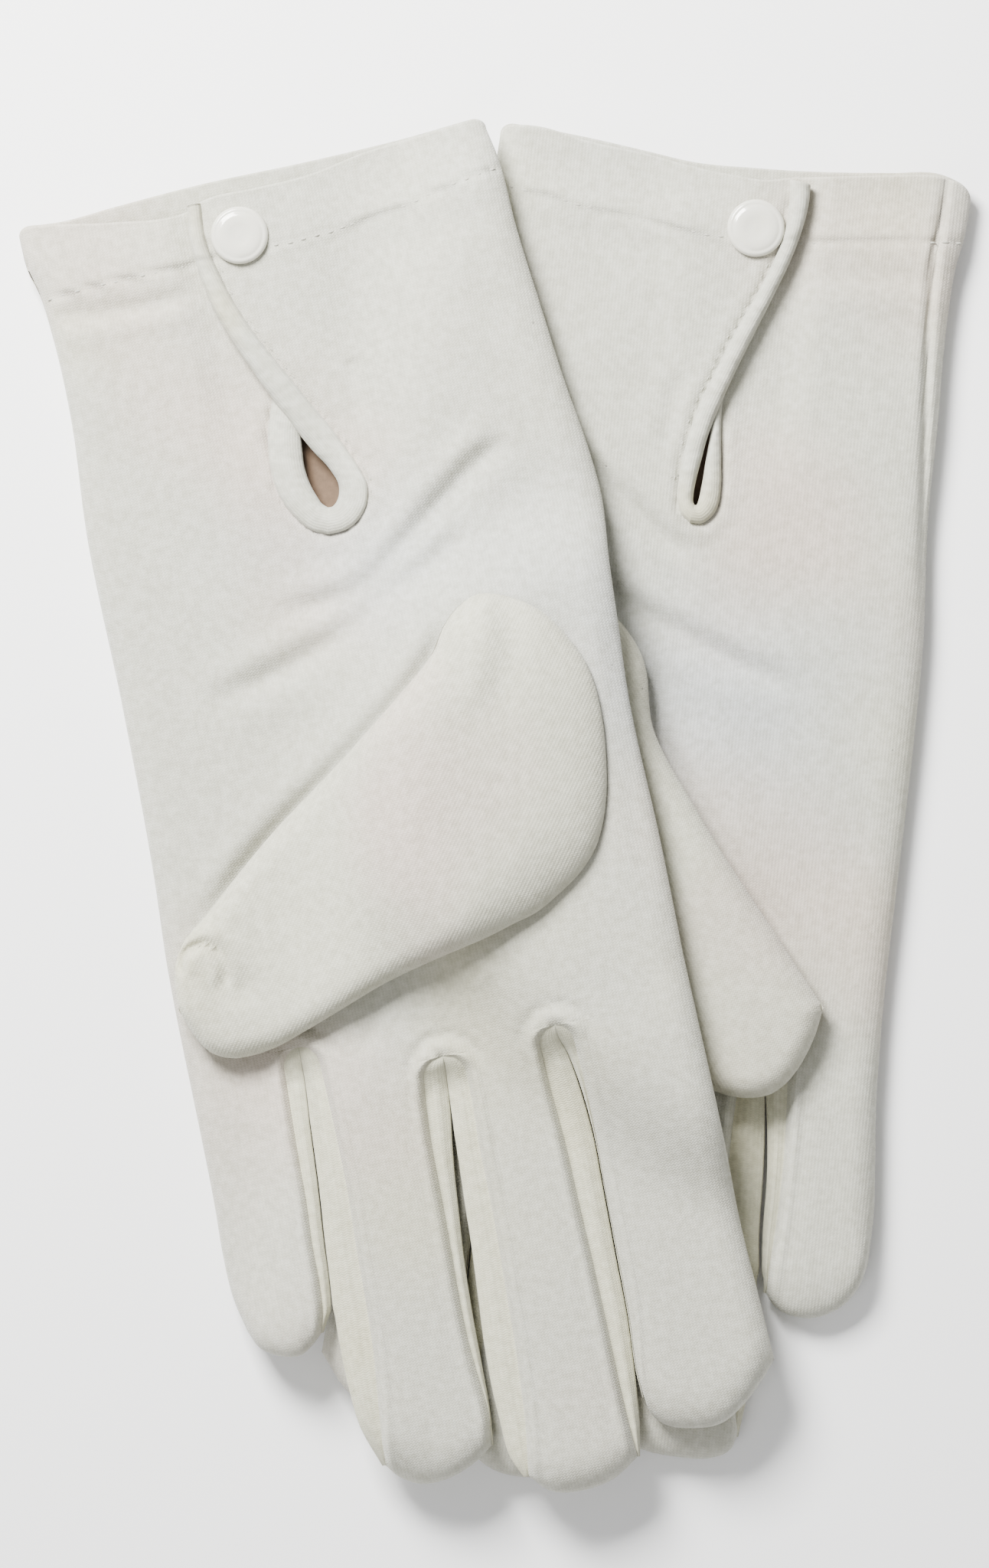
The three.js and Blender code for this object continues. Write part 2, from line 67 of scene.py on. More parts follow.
MM = 0.001
HAND_DEPTH = 7.0      # palm to back of the empty hand
THUMB_DEPTH = 7.0
THUMB_GAP = 1.4       # thumb to palm
STACK_GAP = 0.6       # between the lower glove and the upper one
RAMP, RAMP_START = 20.0, 2.0  # the upper glove comes down over this width, this far outside the lower one
FLOOR_GAP = 0.3       # under the upper glove where it reaches the floor
KNUCKLES = 165.0      # the line on which the fingers bend
JOIN = 157.0          # the palm's mesh ends here and the fingers' meshes start
SNAP = (-4.7, 10.2)   # u and v of its centre
TURN = {"left": 11.5, "right": -6.6}  # degrees that each glove is turned on the floor
HAND = {"left": 1.0, "right": -1.0}   # the right glove is the left one mirrored
MID, SEAM_TOP, SEAM_LOW, BOTTOM = 3.4, 5.5, 1.6, 0.06  # heights above a glove's own underside
HEM_ROLL = 0.5        # radius of the turned hem's edge
HEM_INSET = 0.9       # the hem's inner layer lies this far inside the outer one
FLAP_BEND = 30.0      # v at the middle of the flap's fold line
RIBBON_THICKNESS = 1.6
rng = np.random.default_rng(7)


# ---------- Curves ----------

def smoothstep(t):
    t = np.clip(t, 0, 1)
    return t * t * (3 - 2 * t)


def bell(d, width):
    return np.exp(-(d / width) ** 2)


def faded(place, start, end):
    """1 along a line, easing to 0 at its two ends over these fractions of its length."""
    return smoothstep(place / start) * smoothstep((1 - place) / end)


def smooth(points):
    """A smooth function through (x, y) pairs in rising x."""
    p = np.array(sorted(points), float)
    x, y = p[:, 0], p[:, 1]
    m = np.gradient(y, x)

    def f(q):
        q = np.clip(np.asarray(q, float), x[0], x[-1])
        k = np.clip(np.searchsorted(x, q) - 1, 0, len(x) - 2)
        h = x[k + 1] - x[k]
        t = (q - x[k]) / h
        return ((1 + 2 * t) * (1 - t) ** 2 * y[k] + t * (1 - t) ** 2 * h * m[k]
                + t * t * (3 - 2 * t) * y[k + 1] + t * t * (t - 1) * h * m[k + 1])
    return f


def path(points, n, closed=False):
    """n points spaced evenly along a smooth curve through the given ones."""
    p = np.array(points, float)
    if closed:
        p = np.vstack([p, p[:1]])
    d = np.sqrt(np.linalg.norm(np.diff(p, axis=0), axis=1))
    t = np.concatenate([[0], np.cumsum(np.maximum(d, 1e-6))])
    fine = np.linspace(0, t[-1], 40 * len(p))
    q = np.stack([smooth(list(zip(t, p[:, k])))(fine) for k in range(p.shape[1])], 1)
    s = np.concatenate([[0], np.cumsum(np.linalg.norm(np.diff(q, axis=0), axis=1))])
    at = np.linspace(0, s[-1], n + 1)[:-1] if closed else np.linspace(0, s[-1], n)
    return np.stack([np.interp(at, s, q[:, k]) for k in range(p.shape[1])], 1)


def along(points, t):
    """Points at the fractions t of the length of a smooth curve."""
    q = path(points, 400)
    s = np.linspace(0, 1, len(q))
    return np.stack([np.interp(t, s, q[:, k]) for k in range(q.shape[1])], -1)


def distance(u, v, line, closed=False):
    """Distance to a polyline, the signed side, and how far along it the nearest point is (0 to 1)."""
    line = np.array(line, float)
    a = line
    b = np.roll(line, -1, axis=0)
    if not closed:
        a, b = line[:-1], line[1:]
    best = np.full(np.shape(u), 1e9)
    side = np.zeros(np.shape(u))
    place = np.zeros(np.shape(u))
    seg = np.linalg.norm(b - a, axis=1)
    start = np.concatenate([[0], np.cumsum(seg)])[:-1]
    total = seg.sum()
    for (ax, ay), (bx, by), s0, sl in zip(a, b, start, seg):
        dx, dy = bx - ax, by - ay
        t = np.clip(((u - ax) * dx + (v - ay) * dy) / max(dx * dx + dy * dy, 1e-12), 0, 1)
        d = np.hypot(u - ax - t * dx, v - ay - t * dy)
        cross = dx * (v - ay) - dy * (u - ax)
        near = d < best
        best = np.where(near, d, best)
        side = np.where(near, np.sign(cross), side)
        place = np.where(near, (s0 + t * sl) / total, place)
    return best, side, place


def inside(u, v, outline):
    o = np.array(outline, float)
    hit = np.zeros(np.shape(u), bool)
    for (ax, ay), (bx, by) in zip(o, np.roll(o, -1, axis=0)):
        cond = (ay > v) != (by > v)
        with np.errstate(divide="ignore", invalid="ignore"):
            cut = (bx - ax) * (v - ay) / (by - ay) + ax
        hit ^= cond & (u < cut)
    return hit


# ---------- Outlines of the two gloves ----------

# side, fold, outer and inner hold (v, u): the little-finger edge and the index edge of the hand, then of
# the outermost fingers. cuff and back are the two sides of the opening, hem its line of stitches. ribbon_in
# and ribbon_out run round the vent's binding, underlap along the middle of the part that lies under the
# flap. A gap lies between two fingers, with its crotch and the seam and outer line of its two sides, again
# as (v, u); the gaps start at the index finger.

LEFT = dict(
    side=[
        (0.9, -45.0), (6.7, -44.7), (12.8, -43.3), (20.2, -42.6), (36.2, -42.3), (57.6, -43.7),
        (92.4, -43.6), (124.2, -44.2), (138.5, -45.0), (165, -45.3)],
    fold=[
        (-1.7, 43.7), (4.7, 45.0), (19.3, 45.9), (34.1, 47.4), (49.0, 49.0), (60, 50.6), (69.8, 51.4),
        (84.0, 50.2), (94.0, 49.6), (106.9, 48.8), (136.0, 49.2), (165, 49.1)],
    cuff=[
        (-45.0, 0.9), (-37.9, 1.7), (-26.9, 3.5), (-13.3, 4.1), (-10.2, 3.0), (-0.7, 2.6), (9.6, 2.1),
        (21.6, -0.1), (33.4, -0.9), (43.7, -1.7)],
    back=[
        (-45.0, 0.5), (-37.5, 1.2), (-26.4, 0.5), (-10.3, -0.4), (10.0, -0.6), (21.6, -0.9), (33.4, -1.3),
        (43.7, -1.8)],
    hem=[
        (-42.4, 14.6), (-29.0, 13.9), (-13.0, 13.6), (-8.8, 13.4), (8.8, 13.2), (17.7, 12.1), (25.1, 11.2),
        (37.2, 9.0), (44.8, 7.7)],
    ribbon_in=[
        (-13.1, 2.9), (-13.8, 10.1), (-13.3, 16.0), (-12.4, 21.2), (-10.2, 28.2), (-7.3, 35.3),
        (-4.8, 40.9), (-2.8, 44.9), (-1.1, 48.6), (0.8, 52.2), (3.0, 55.8), (4.1, 58.7), (3.9, 60.8),
        (3.2, 62.1), (2.2, 62.9), (1.3, 62.9), (0.4, 62.0), (-0.2, 60.7), (-0.9, 58.7), (-1.3, 56.8),
        (-1.5, 54.3), (-1.3, 51.8), (-1.0, 48.6), (-0.6, 44.5)],
    ribbon_out=[
        (-10.6, 2.9), (-11.0, 10.7), (-9.9, 16.0), (-8.7, 20.6), (-6.2, 27.2), (-3.2, 33.4), (-0.2, 39.0),
        (2.4, 44.0), (4.8, 48.4), (6.9, 53.0), (8.7, 57.5), (9.3, 60.4), (8.6, 63.6), (6.6, 66.2),
        (3.6, 67.7), (0.4, 67.8), (-2.8, 66.2), (-5.6, 62.5), (-7.0, 59.4), (-7.6, 56.5), (-7.7, 53.5),
        (-7.4, 50.2), (-6.8, 46.8), (-5.4, 42.6)],
    underlap=[(-3.0, 40.5), (-2.0, 34.0), (-0.4, 28.0), (1.0, 22.0), (2.2, 12.0), (2.9, 2.6)],
    creases=[
        dict(line=[(37.5, 56.8), (29.5, 60.9), (23.0, 65.6), (15.8, 71.2), (4.1, 78.9), (-6, 80.4),
                   (-15, 79.7)], depth=1.25, width=2.1, lip=0.9),
        dict(line=[(27.3, 71.5), (17, 77.6), (9.7, 80.9), (-1.8, 86.8), (-14.3, 91.1), (-31.0, 95.0)],
             depth=1.05, width=2.3, lip=0.8),
        dict(line=[(-42.5, 18.0), (-33.0, 18.9), (-23.0, 19.4), (-12.6, 18.6)],
             depth=0.75, width=1.9, lip=0.35),
        dict(line=[(46, 13.5), (38, 15.5), (28, 17.0), (17, 17.6)], depth=0.22, width=3.0, lip=0.2),
        dict(line=[(48.5, 92), (46.6, 112), (45.4, 132), (44.5, 150)], depth=0.45, width=2.2, lip=0.1),
        dict(line=[(19.4, 86.9), (14.7, 94.1), (10.6, 97.9), (-4.7, 109.3), (-21.6, 121.1), (-35.6, 132.7),
                   (-41.2, 137.4)], depth=2.1, width=2.2, lip=0.35),
        dict(line=[(-6.0, 45.5), (-9.4, 52.0), (-9.6, 58.5), (-7.4, 64.6), (-3.0, 69.4)],
             depth=0.25, width=1.6, lip=0.1),
        dict(line=[(10.4, 54.0), (11.9, 60.5), (11.0, 66.0), (7.0, 69.6)], depth=0.55, width=1.7, lip=0.25),
        dict(line=[(11.0, 36.0), (11.8, 42.0), (11.4, 48.0)], depth=0.4, width=2.0, lip=0.25),
        dict(line=[(8.0, 158.0), (5.0, 152.0), (6.5, 146.0)], depth=0.3, width=2.6, lip=0.2),
        dict(line=[(-13, 164), (-9, 156), (-4, 150)], depth=0.3, width=2.6, lip=0.25),
    ],
    gaps=[
        dict(
            at=(23.4, 164.9),
            low_seam=[
                (167.5, 20.0), (176.4, 20.3), (185.2, 20.9), (196.8, 21.2), (210.0, 21.6), (220.2, 21.8),
                (228.8, 21.9), (237.5, 22.1), (246.5, 22.6)],
            low_side=[
                (167, 23.6), (176, 25.3), (185, 26.2), (198, 26.1), (210, 25.9), (221, 25.8), (231, 25.1),
                (240, 24.2), (246.5, 23.0)],
            high_seam=[
                (167, 26.2), (173.3, 26.6), (185.0, 26.8), (197.9, 26.5), (209.5, 26.4), (221, 26.2),
                (230.9, 25.6), (236, 25.9)],
            high_side=[
                (167, 24.6), (176, 25.9), (185, 26.5), (198, 26.4), (210, 26.2), (221, 26.0), (231, 25.4),
                (236, 25.6)]),
        dict(
            at=(2.0, 166.6),
            low_seam=[
                (170, -2.3), (172.6, -2.6), (180.3, -3.2), (190.4, -3.4), (200.6, -3.6), (210.6, -3.9),
                (217.9, -3.9), (225.3, -3.5), (232.6, -3.0), (239, -3.6)],
            low_side=[
                (168, 1.4), (174.2, 1.2), (184.0, 0.1), (193.9, -0.7), (203.9, -1.6), (213.9, -2.1),
                (224.0, -2.3), (232, -2.5), (239, -3.2)],
            high_seam=[
                (170, 5.6), (176.3, 5.6), (183.5, 5.3), (193.7, 5.3), (202.3, 5.1), (210.9, 4.8),
                (219.6, 4.5), (228.2, 4.1), (235.4, 3.8), (246, 2.6)],
            high_side=[
                (168, 2.6), (174.1, 2.1), (184.1, 1.3), (192.7, 0.6), (201.3, 0.2), (211.3, -0.5),
                (221.3, -1.2), (234.3, -1.2), (243.2, -0.2), (246, 1.2)]),
        dict(
            at=(-23.9, 159.8),
            low_seam=[
                (163.8, -27.4), (171.0, -27.7), (181.1, -28.0), (186.9, -28.1), (195.5, -28.6),
                (202.7, -28.8), (208.3, -29.5), (212.4, -30.6)],
            low_side=[
                (162, -24.6), (165.4, -24.4), (174.6, -25.0), (184.6, -25.6), (195.9, -26.6),
                (204.6, -27.2), (208.8, -28.0), (212.4, -29.8)],
            high_seam=[
                (163.8, -20.6), (175.4, -20.3), (188.5, -20.3), (197.1, -20.7), (207.2, -21.0),
                (214.3, -21.3), (222.9, -21.9), (230.1, -22.3), (239, -22.7)],
            high_side=[
                (162, -23.4), (164.7, -23.6), (171.8, -24.2), (179.0, -24.7), (187.5, -25.3),
                (196.0, -26.1), (203.2, -26.7), (214.5, -27.4), (224.7, -27.3), (230.6, -26.8),
                (239, -24.2)]),
    ],
    outer=[(173.2, -45.2), (186.3, -45.3), (194.9, -45.6), (203.7, -45.2), (209.8, -43.8)],
    inner=[(179.5, 49.6), (194.0, 49.8), (208.5, 49.8), (221.7, 50.4), (234.0, 50.9)],
    tips=dict(
        index=[
            (25.9, 236.0), (26.6, 239.3), (29.0, 241.9), (33.1, 243.3), (38.8, 243.6), (43.8, 240.9),
            (47.6, 237.5), (50.9, 234.0)],
        middle=[(2.0, 246.0), (5.6, 249.6), (11.2, 250.7), (17.2, 249.8), (22.6, 246.5)],
        ring=[(-23.6, 239.0), (-21.6, 241.6), (-17.9, 243.7), (-13.0, 243.7), (-7.2, 241.6), (-3.4, 239.0)],
        little=[
            (-43.8, 209.8), (-42.0, 213.3), (-38.1, 215.4), (-35.0, 215.8), (-32.4, 214.4), (-30.2, 212.4)]),
    thumb_top=[
        (43.2, 109.5), (43.1, 105.7), (42.3, 101.2), (40.4, 96.5), (37.7, 91.9), (34.1, 88.2),
        (28.9, 85.3), (25.3, 84.5), (21.5, 85.9), (18.0, 89.0), (14.6, 94.0), (10.4, 97.6), (-4.9, 109.0),
        (-21.8, 120.8), (-35.8, 132.4), (-41.0, 136.6), (-43.2, 140.3), (-44.1, 144.5), (-44.2, 148.8)],
    thumb_bottom=[
        (43.2, 109.5), (43.1, 112.5), (42.4, 118.6), (41.0, 125.6), (39.1, 131.0), (36.9, 134.9),
        (33.3, 138.5), (29.1, 141.3), (24.2, 143.9), (19.6, 145.1), (15.0, 146.4), (2.9, 149.0),
        (-6.3, 151.4), (-14.1, 154.2), (-21.9, 157.0), (-28.2, 159.0), (-34.1, 159.6), (-37.6, 159.0),
        (-40.7, 156.8), (-42.8, 152.7), (-44.2, 148.8)],
)

RIGHT = dict(
    side=[
        (-1.1, -43.9), (1.7, -43.9), (8.2, -43.5), (14.0, -42.6), (21.2, -42.2), (29.8, -42.2),
        (41.1, -42.6), (61.1, -42.9), (82.4, -44.6), (100.9, -45.0), (125.2, -45.0), (149.5, -45.0),
        (165, -45.5)],
    fold=[
        (-3.4, 44.3), (8, 44.8), (19.3, 45.9), (34.1, 47.4), (49.0, 48.6), (69.8, 49.6), (94.0, 49.4),
        (120, 48.8), (165, 49.1)],
    cuff=[
        (-43.9, -1.5), (-37.9, -3.0), (-28.7, -2.2), (-20.3, -1.0), (-11.8, 0.2), (-5, 1.6), (-0.6, 1.4),
        (8.1, 0.5), (16.8, -0.9), (28.4, -2.1), (37.2, -3.7), (44.3, -3.4)],
    back=[
        (-43.9, -1.6), (-37.9, -3.6), (-28.7, -2.8), (-20.3, -1.9), (-11.8, -1.2), (-3.3, -0.8),
        (8.1, -0.6), (16.8, -1.6), (28.4, -2.9), (44.3, -4.0)],
    hem=[
        (-43.4, 8.4), (-30, 9.6), (-18, 11.2), (-8, 12.2), (0, 12.4), (10, 11.9), (22, 10.4), (34, 8.6),
        (44.6, 7.2)],
    ribbon_in=[
        (-13.9, 1.0), (-13.9, 5.0), (-13.1, 10.3), (-11.6, 16), (-10.0, 20.6), (-6.7, 29.6), (-3.5, 38.5),
        (-1.2, 46.0), (-0.2, 50.0), (0.4, 54.0), (0.9, 57.6), (1.1, 60.4), (1.0, 61.8), (0.7, 62.4),
        (0.3, 62.4), (0.0, 61.4), (-0.2, 59.4), (-0.35, 57.4), (-0.45, 54.6), (-0.6, 51.7), (-0.8, 48.0),
        (-0.7, 44.0)],
    ribbon_out=[
        (-9.9, 0.5), (-10.3, 5.4), (-10.0, 10.6), (-8.6, 16), (-7.0, 20.4), (-3.4, 29.0), (-0.2, 37.6),
        (2.2, 44.6), (3.2, 49.4), (3.8, 53.4), (4.1, 57.8), (4.0, 61.6), (3.0, 64.4), (1.2, 65.8),
        (-1.0, 65.7), (-2.9, 64.0), (-3.8, 61.3), (-3.8, 57.8), (-3.4, 54.3), (-3.0, 51.0), (-2.6, 47.4),
        (-2.4, 43.0)],
    underlap=[(-1.3, 39.5), (-1.0, 34.0), (0.0, 28.0), (1.2, 22.0), (2.2, 12.0), (2.9, 2.6)],
    creases=[
        dict(line=[(30, 50), (20.5, 57.9), (9.2, 66.9), (-1.4, 74.4)], depth=1.25, width=2.1, lip=0.9),
        dict(line=[(26, 73), (14.3, 80.7), (0.9, 86.4), (-10, 90.6), (-24, 95.5)],
             depth=1.2, width=2.3, lip=0.9),
        dict(line=[(-39.3, -6.0), (-38.7, 4.3), (-38.5, 18.3), (-40.1, 40.6), (-42.6, 65.5), (-44.5, 84.0)],
             depth=1.5, width=0.8, lip=0.2),
        dict(line=[(7.0, 91.0), (4.4, 99.0), (2.8, 104.0), (-5.2, 116.2), (-17.5, 131.6), (-30.2, 147.0)],
             depth=1.0, width=2.0, lip=0.2),
        dict(line=[(6.2, 38.0), (7.0, 46.0), (7.0, 54.0)], depth=0.4, width=1.8, lip=0.25),
        dict(line=[(-42.0, 15.5), (-33.0, 15.9), (-23.0, 16.6), (-14, 16.8)],
             depth=0.25, width=2.4, lip=0.25),
        dict(line=[(44, 12.0), (30, 14.5), (16, 16.0), (4, 16.6)], depth=0.2, width=2.6, lip=0.2),
    ],
    gaps=[dict(gap) for gap in LEFT["gaps"][:2]] + [
        dict(
            at=(-23.9, 159.8),
            low_seam=[
                (163.8, -28.6), (171.0, -29.2), (181.1, -29.8), (190, -29.9), (200, -29.7), (206.4, -29.8)],
            low_side=[
                (162, -24.6), (166, -25.2), (174.6, -26.6), (184.6, -27.8), (196, -28.2), (206.4, -29.0)],
            high_seam=[
                (163.8, -20.0), (175.4, -19.7), (188.5, -19.8), (197.1, -20.1), (207.2, -22.0),
                (214.3, -23.2), (222.9, -24.6), (233.6, -26.0)],
            high_side=[
                (162, -23.4), (164.7, -23.8), (171.8, -24.6), (179.0, -25.4), (187.5, -25.9),
                (196.0, -26.4), (203.2, -27.4), (214.5, -28.2), (222, -28.4), (233.6, -27.4)]),
    ],
    outer=[(168.0, -45.7), (179.3, -46.8), (189.3, -47.7), (199.0, -47.9)],
    inner=[(179.5, 49.4), (194.0, 49.8), (208.5, 50.5), (226.8, 51.4)],
    tips=dict(
        index=[
            (25.9, 229.5), (27.6, 233.4), (30.0, 235.4), (34.1, 236.4), (39.0, 236.1), (43.0, 235.2),
            (46.6, 232.8), (51.4, 226.8)],
        middle=[(2.0, 241.5), (5.6, 244.4), (11.2, 245.6), (17.2, 244.9), (22.6, 241.5)],
        ring=[(-27.2, 233.6), (-26.0, 236.4), (-22.4, 238.2), (-17.0, 238.6), (-10.0, 238.0), (-4.6, 235.6)],
        little=[
            (-47.7, 199.0), (-46.2, 204.0), (-43.2, 207.8), (-38.4, 210.1), (-33.8, 209.9), (-31.2, 208.5),
            (-29.4, 206.4)]),
    thumb_top=[
        (43.2, 109.5), (43.1, 105.7), (42.3, 101.2), (40.0, 95.5), (36.0, 90.0), (30.5, 85.6),
        (24.5, 82.6), (18.0, 82.4), (13.2, 84.6), (9.8, 87.8), (7.2, 91.4), (5.8, 95.0), (5.1, 98.8),
        (3.9, 103.8), (1.2, 108.8), (-4.6, 116.6), (-10.9, 124.9), (-16.9, 132.2), (-23.1, 139.5),
        (-29.6, 147.4), (-33.6, 152.2)],
    thumb_bottom=[
        (43.2, 109.5), (43.1, 112.5), (42.4, 118.6), (41.0, 125.6), (39.1, 131.0), (36.9, 135.9),
        (33.3, 140.5), (29.1, 144.3), (22.2, 148.9), (14, 154.0), (4, 159.8), (-5.0, 165.0),
        (-10.6, 168.2), (-15.2, 169.9), (-20.5, 170.6), (-25.6, 169.4), (-28.8, 166.5), (-31.4, 161.6),
        (-32.9, 156.8), (-33.6, 152.2)],
)

for data in (LEFT, RIGHT):
    for key, edge in (("outer", "side"), ("inner", "fold")):
        data[key] = [(JOIN, float(smooth(data[edge])(JOIN)))] + data[key]
    # how far the two sides of each gap run together, how wide they part, and where that ends
    for gap, web, opening in zip(data["gaps"], (1.5, 5.0, 3.0), (0.7, 1.0, 0.35)):
        gap.update(web=web, open=opening, ends=min(gap["low_side"][-1][0], gap["high_side"][-1][0]) - 5)


# ---------- Materials ----------

def material(name, colour, rough):
    m = bpy.data.materials.new(name)
    m.use_nodes = True
    b = m.node_tree.nodes["Principled BSDF"]
    b.inputs["Base Color"].default_value = (*colour, 1)
    b.inputs["Roughness"].default_value = rough
    return m, m.node_tree, b


def node(tree, kind, **sockets):
    n = tree.nodes.new(kind)
    for key, value in sockets.items():
        if hasattr(n, key):
            setattr(n, key, value)
        else:
            n.inputs[key].default_value = value
    return n


def feed(tree, value, socket):
    """Sets a socket from another node's output, a colour or a number."""
    if isinstance(value, bpy.types.NodeSocket):
        tree.links.new(value, socket)
    else:
        socket.default_value = (*value, 1) if isinstance(value, tuple) else value


def maths(tree, op, a, b=None):
    n = node(tree, "ShaderNodeMath", operation=op)
    feed(tree, a, n.inputs[0])
    if b is not None:
        feed(tree, b, n.inputs[1])
    return n.outputs[0]


def mixed(tree, factor, a, b, **options):
    n = node(tree, "ShaderNodeMix", data_type="RGBA", **options)
    for value, socket in ((factor, n.inputs["Factor"]), (a, n.inputs[6]), (b, n.inputs[7])):
        feed(tree, value, socket)
    return n.outputs[2]


def ranged(tree, value, start, end, low=0.0, high=1.0, **options):
    n = node(tree, "ShaderNodeMapRange", **options)
    for name, number in (("From Min", start), ("From Max", end), ("To Min", low), ("To Max", high)):
        n.inputs[name].default_value = number
    tree.links.new(value, n.inputs["Value"])
    return n.outputs[0]


def textured(tree, kind, coord, **options):
    n = node(tree, kind, **options)
    tree.links.new(coord, n.inputs["Vector"])
    return n.outputs


def bumped(tree, shader, height, strength, distance):
    bump = node(tree, "ShaderNodeBump", Strength=strength, Distance=distance)
    tree.links.new(height, bump.inputs["Height"])
    tree.links.new(bump.outputs[0], shader.inputs["Normal"])


def knit(name, colour, tints, wale=0.62, course=0.5, depth=0.00013, strength=0.5):
    """Fine jersey: columns of small v stitches, soft fuzz,
    and faint uneven tints from the dye and the light."""
    m, t, b = material(name, colour, 0.92)
    b.inputs["Sheen Weight"].default_value = 0.25
    b.inputs["Sheen Roughness"].default_value = 0.55
    b.inputs["Specular IOR Level"].default_value = 0.2
    coord = node(t, "ShaderNodeTexCoord").outputs["Object"]
    uv = node(t, "ShaderNodeUVMap", uv_map="UVMap")
    xyz = node(t, "ShaderNodeSeparateXYZ")
    t.links.new(uv.outputs[0], xyz.inputs[0])
    across = maths(t, "MULTIPLY", xyz.outputs[0], 1000 / wale)
    down = maths(t, "MULTIPLY", xyz.outputs[1], 1000 / course)
    column = maths(t, "ABSOLUTE", maths(t, "SUBTRACT", maths(t, "FRACT", across), 0.5))
    slant = maths(t, "ADD", down, maths(t, "MULTIPLY", column, 1.3))
    vee = maths(t, "SINE", maths(t, "MULTIPLY", slant, 2 * math.pi))
    rib = maths(t, "COSINE", maths(t, "MULTIPLY", across, 2 * math.pi))
    stitch = maths(t, "ADD", maths(t, "MULTIPLY", vee, 0.30), maths(t, "MULTIPLY", rib, 0.28))
    fuzz = textured(t, "ShaderNodeTexNoise", coord, Scale=1500.0, Detail=3.0, Roughness=0.7)["Fac"]
    height = maths(t, "ADD", stitch, maths(t, "MULTIPLY", fuzz, 0.9))
    bumped(t, b, height, strength, depth)
    # slow tints, painted shade in the hollows between stitches, and an uneven grain
    base = colour
    for tint, scale, seed in tints:
        patch = textured(t, "ShaderNodeTexNoise", coord, noise_dimensions="4D", Scale=scale, Detail=1.5,
                         Roughness=0.5,
                         W=seed)["Fac"]
        base = mixed(t, ranged(t, patch, 0.50, 0.74, interpolation_type="SMOOTHSTEP"), base, tint)
    # painted shade: the colour darkens where the knit's bump height is low
    base = mixed(t, ranged(t, height, -0.3, 1.2, 0.34, 0.0), base, (0.55, 0.53, 0.48), blend_type="MULTIPLY")
    grain = textured(t, "ShaderNodeTexNoise", coord, Scale=640.0, Detail=4.0, Roughness=0.65)["Fac"]
    base = mixed(t, ranged(t, grain, 0.35, 0.65, 1.0, 0.0), base, (0.81, 0.805, 0.775), blend_type="MULTIPLY")
    # sparse specks of lint
    cell = textured(t, "ShaderNodeTexVoronoi", coord, Scale=150.0)
    tone = node(t, "ShaderNodeSeparateXYZ")
    t.links.new(cell["Color"], tone.inputs[0])
    near = maths(t, "LESS_THAN", cell["Distance"], 0.036)
    chosen = maths(t, "LESS_THAN", tone.outputs[0], 0.20)
    speck = maths(t, "MULTIPLY", maths(t, "MULTIPLY", near, chosen), 0.5)
    feed(t, mixed(t, speck, base, (0.10, 0.095, 0.09)), b.inputs["Base Color"])
    return m


CREAM, PINK, BLUE = (0.575, 0.55, 0.395), (0.585, 0.515, 0.45), (0.515, 0.54, 0.55)
KNIT = knit("white_knit", (0.553, 0.551, 0.478), [(CREAM, 14, 1.3), (PINK, 17, 4.1), (BLUE, 12, 7.7)])
THUMB_KNIT = knit("thumb_knit", (0.575, 0.57, 0.468), [(CREAM, 16, 2.3), (PINK, 22, 5.4)])
GUSSET = knit("gusset_knit", (0.61, 0.60, 0.465), [((0.62, 0.595, 0.43), 30, 3.0)], course=0.45)
BINDING = knit("binding_knit", (0.585, 0.585, 0.51), [(CREAM, 40, 9.0)], wale=0.5, course=0.4)


def thread_painted_shade_material():
    m, t, b = material("sewing_thread_painted_shade", (0.80, 0.79, 0.76), 0.6)
    coord = node(t, "ShaderNodeTexCoord").outputs["Object"]
    wave = textured(t, "ShaderNodeTexWave", coord, Scale=1500.0, Distortion=0.4)["Fac"]
    bumped(t, b, wave, 0.4, 0.00005)
    # painted shade: the thread is coloured dull grey, darker than the cloth, standing for the shade in the
    # holes between stitches
    feed(t, mixed(t, wave, (0.36, 0.35, 0.30), (0.50, 0.49, 0.43)), b.inputs["Base Color"])
    return m


def plastic_material():
    m, t, b = material("moulded_plastic", (0.66, 0.65, 0.57), 0.16)
    b.inputs["Coat Weight"].default_value = 0.5
    b.inputs["Coat Roughness"].default_value = 0.06
    b.inputs["Subsurface Weight"].default_value = 0.15
    b.inputs["Subsurface Radius"].default_value = (0.002, 0.0018, 0.0015)
    coord = node(t, "ShaderNodeTexCoord").outputs["Object"]
    noise = textured(t, "ShaderNodeTexNoise", coord, Scale=420.0, Detail=2.0)["Fac"]
    bumped(t, b, noise, 0.12, 0.00006)
    feed(t, mixed(t, noise, (0.68, 0.67, 0.60), (0.66, 0.645, 0.55)), b.inputs["Base Color"])
    return m


def card_painted_shade_material():
    m, t, b = material("brown_card_painted_shade", (0.42, 0.31, 0.24), 0.85)
    coord = node(t, "ShaderNodeTexCoord").outputs["Object"]
    noise = textured(t, "ShaderNodeTexNoise", coord, Scale=700.0, Detail=5.0, Roughness=0.7)["Fac"]
    # the card's own brown, darkened further: painted shade of the hollow inside the glove
    feed(t, mixed(t, noise, (0.07, 0.042, 0.024), (0.17, 0.11, 0.068)), b.inputs["Base Color"])
    return m


THREAD_PAINTED_SHADE = thread_painted_shade_material()
PLASTIC = plastic_material()
CARD_PAINTED_SHADE = card_painted_shade_material()


# ---------- Meshes ----------

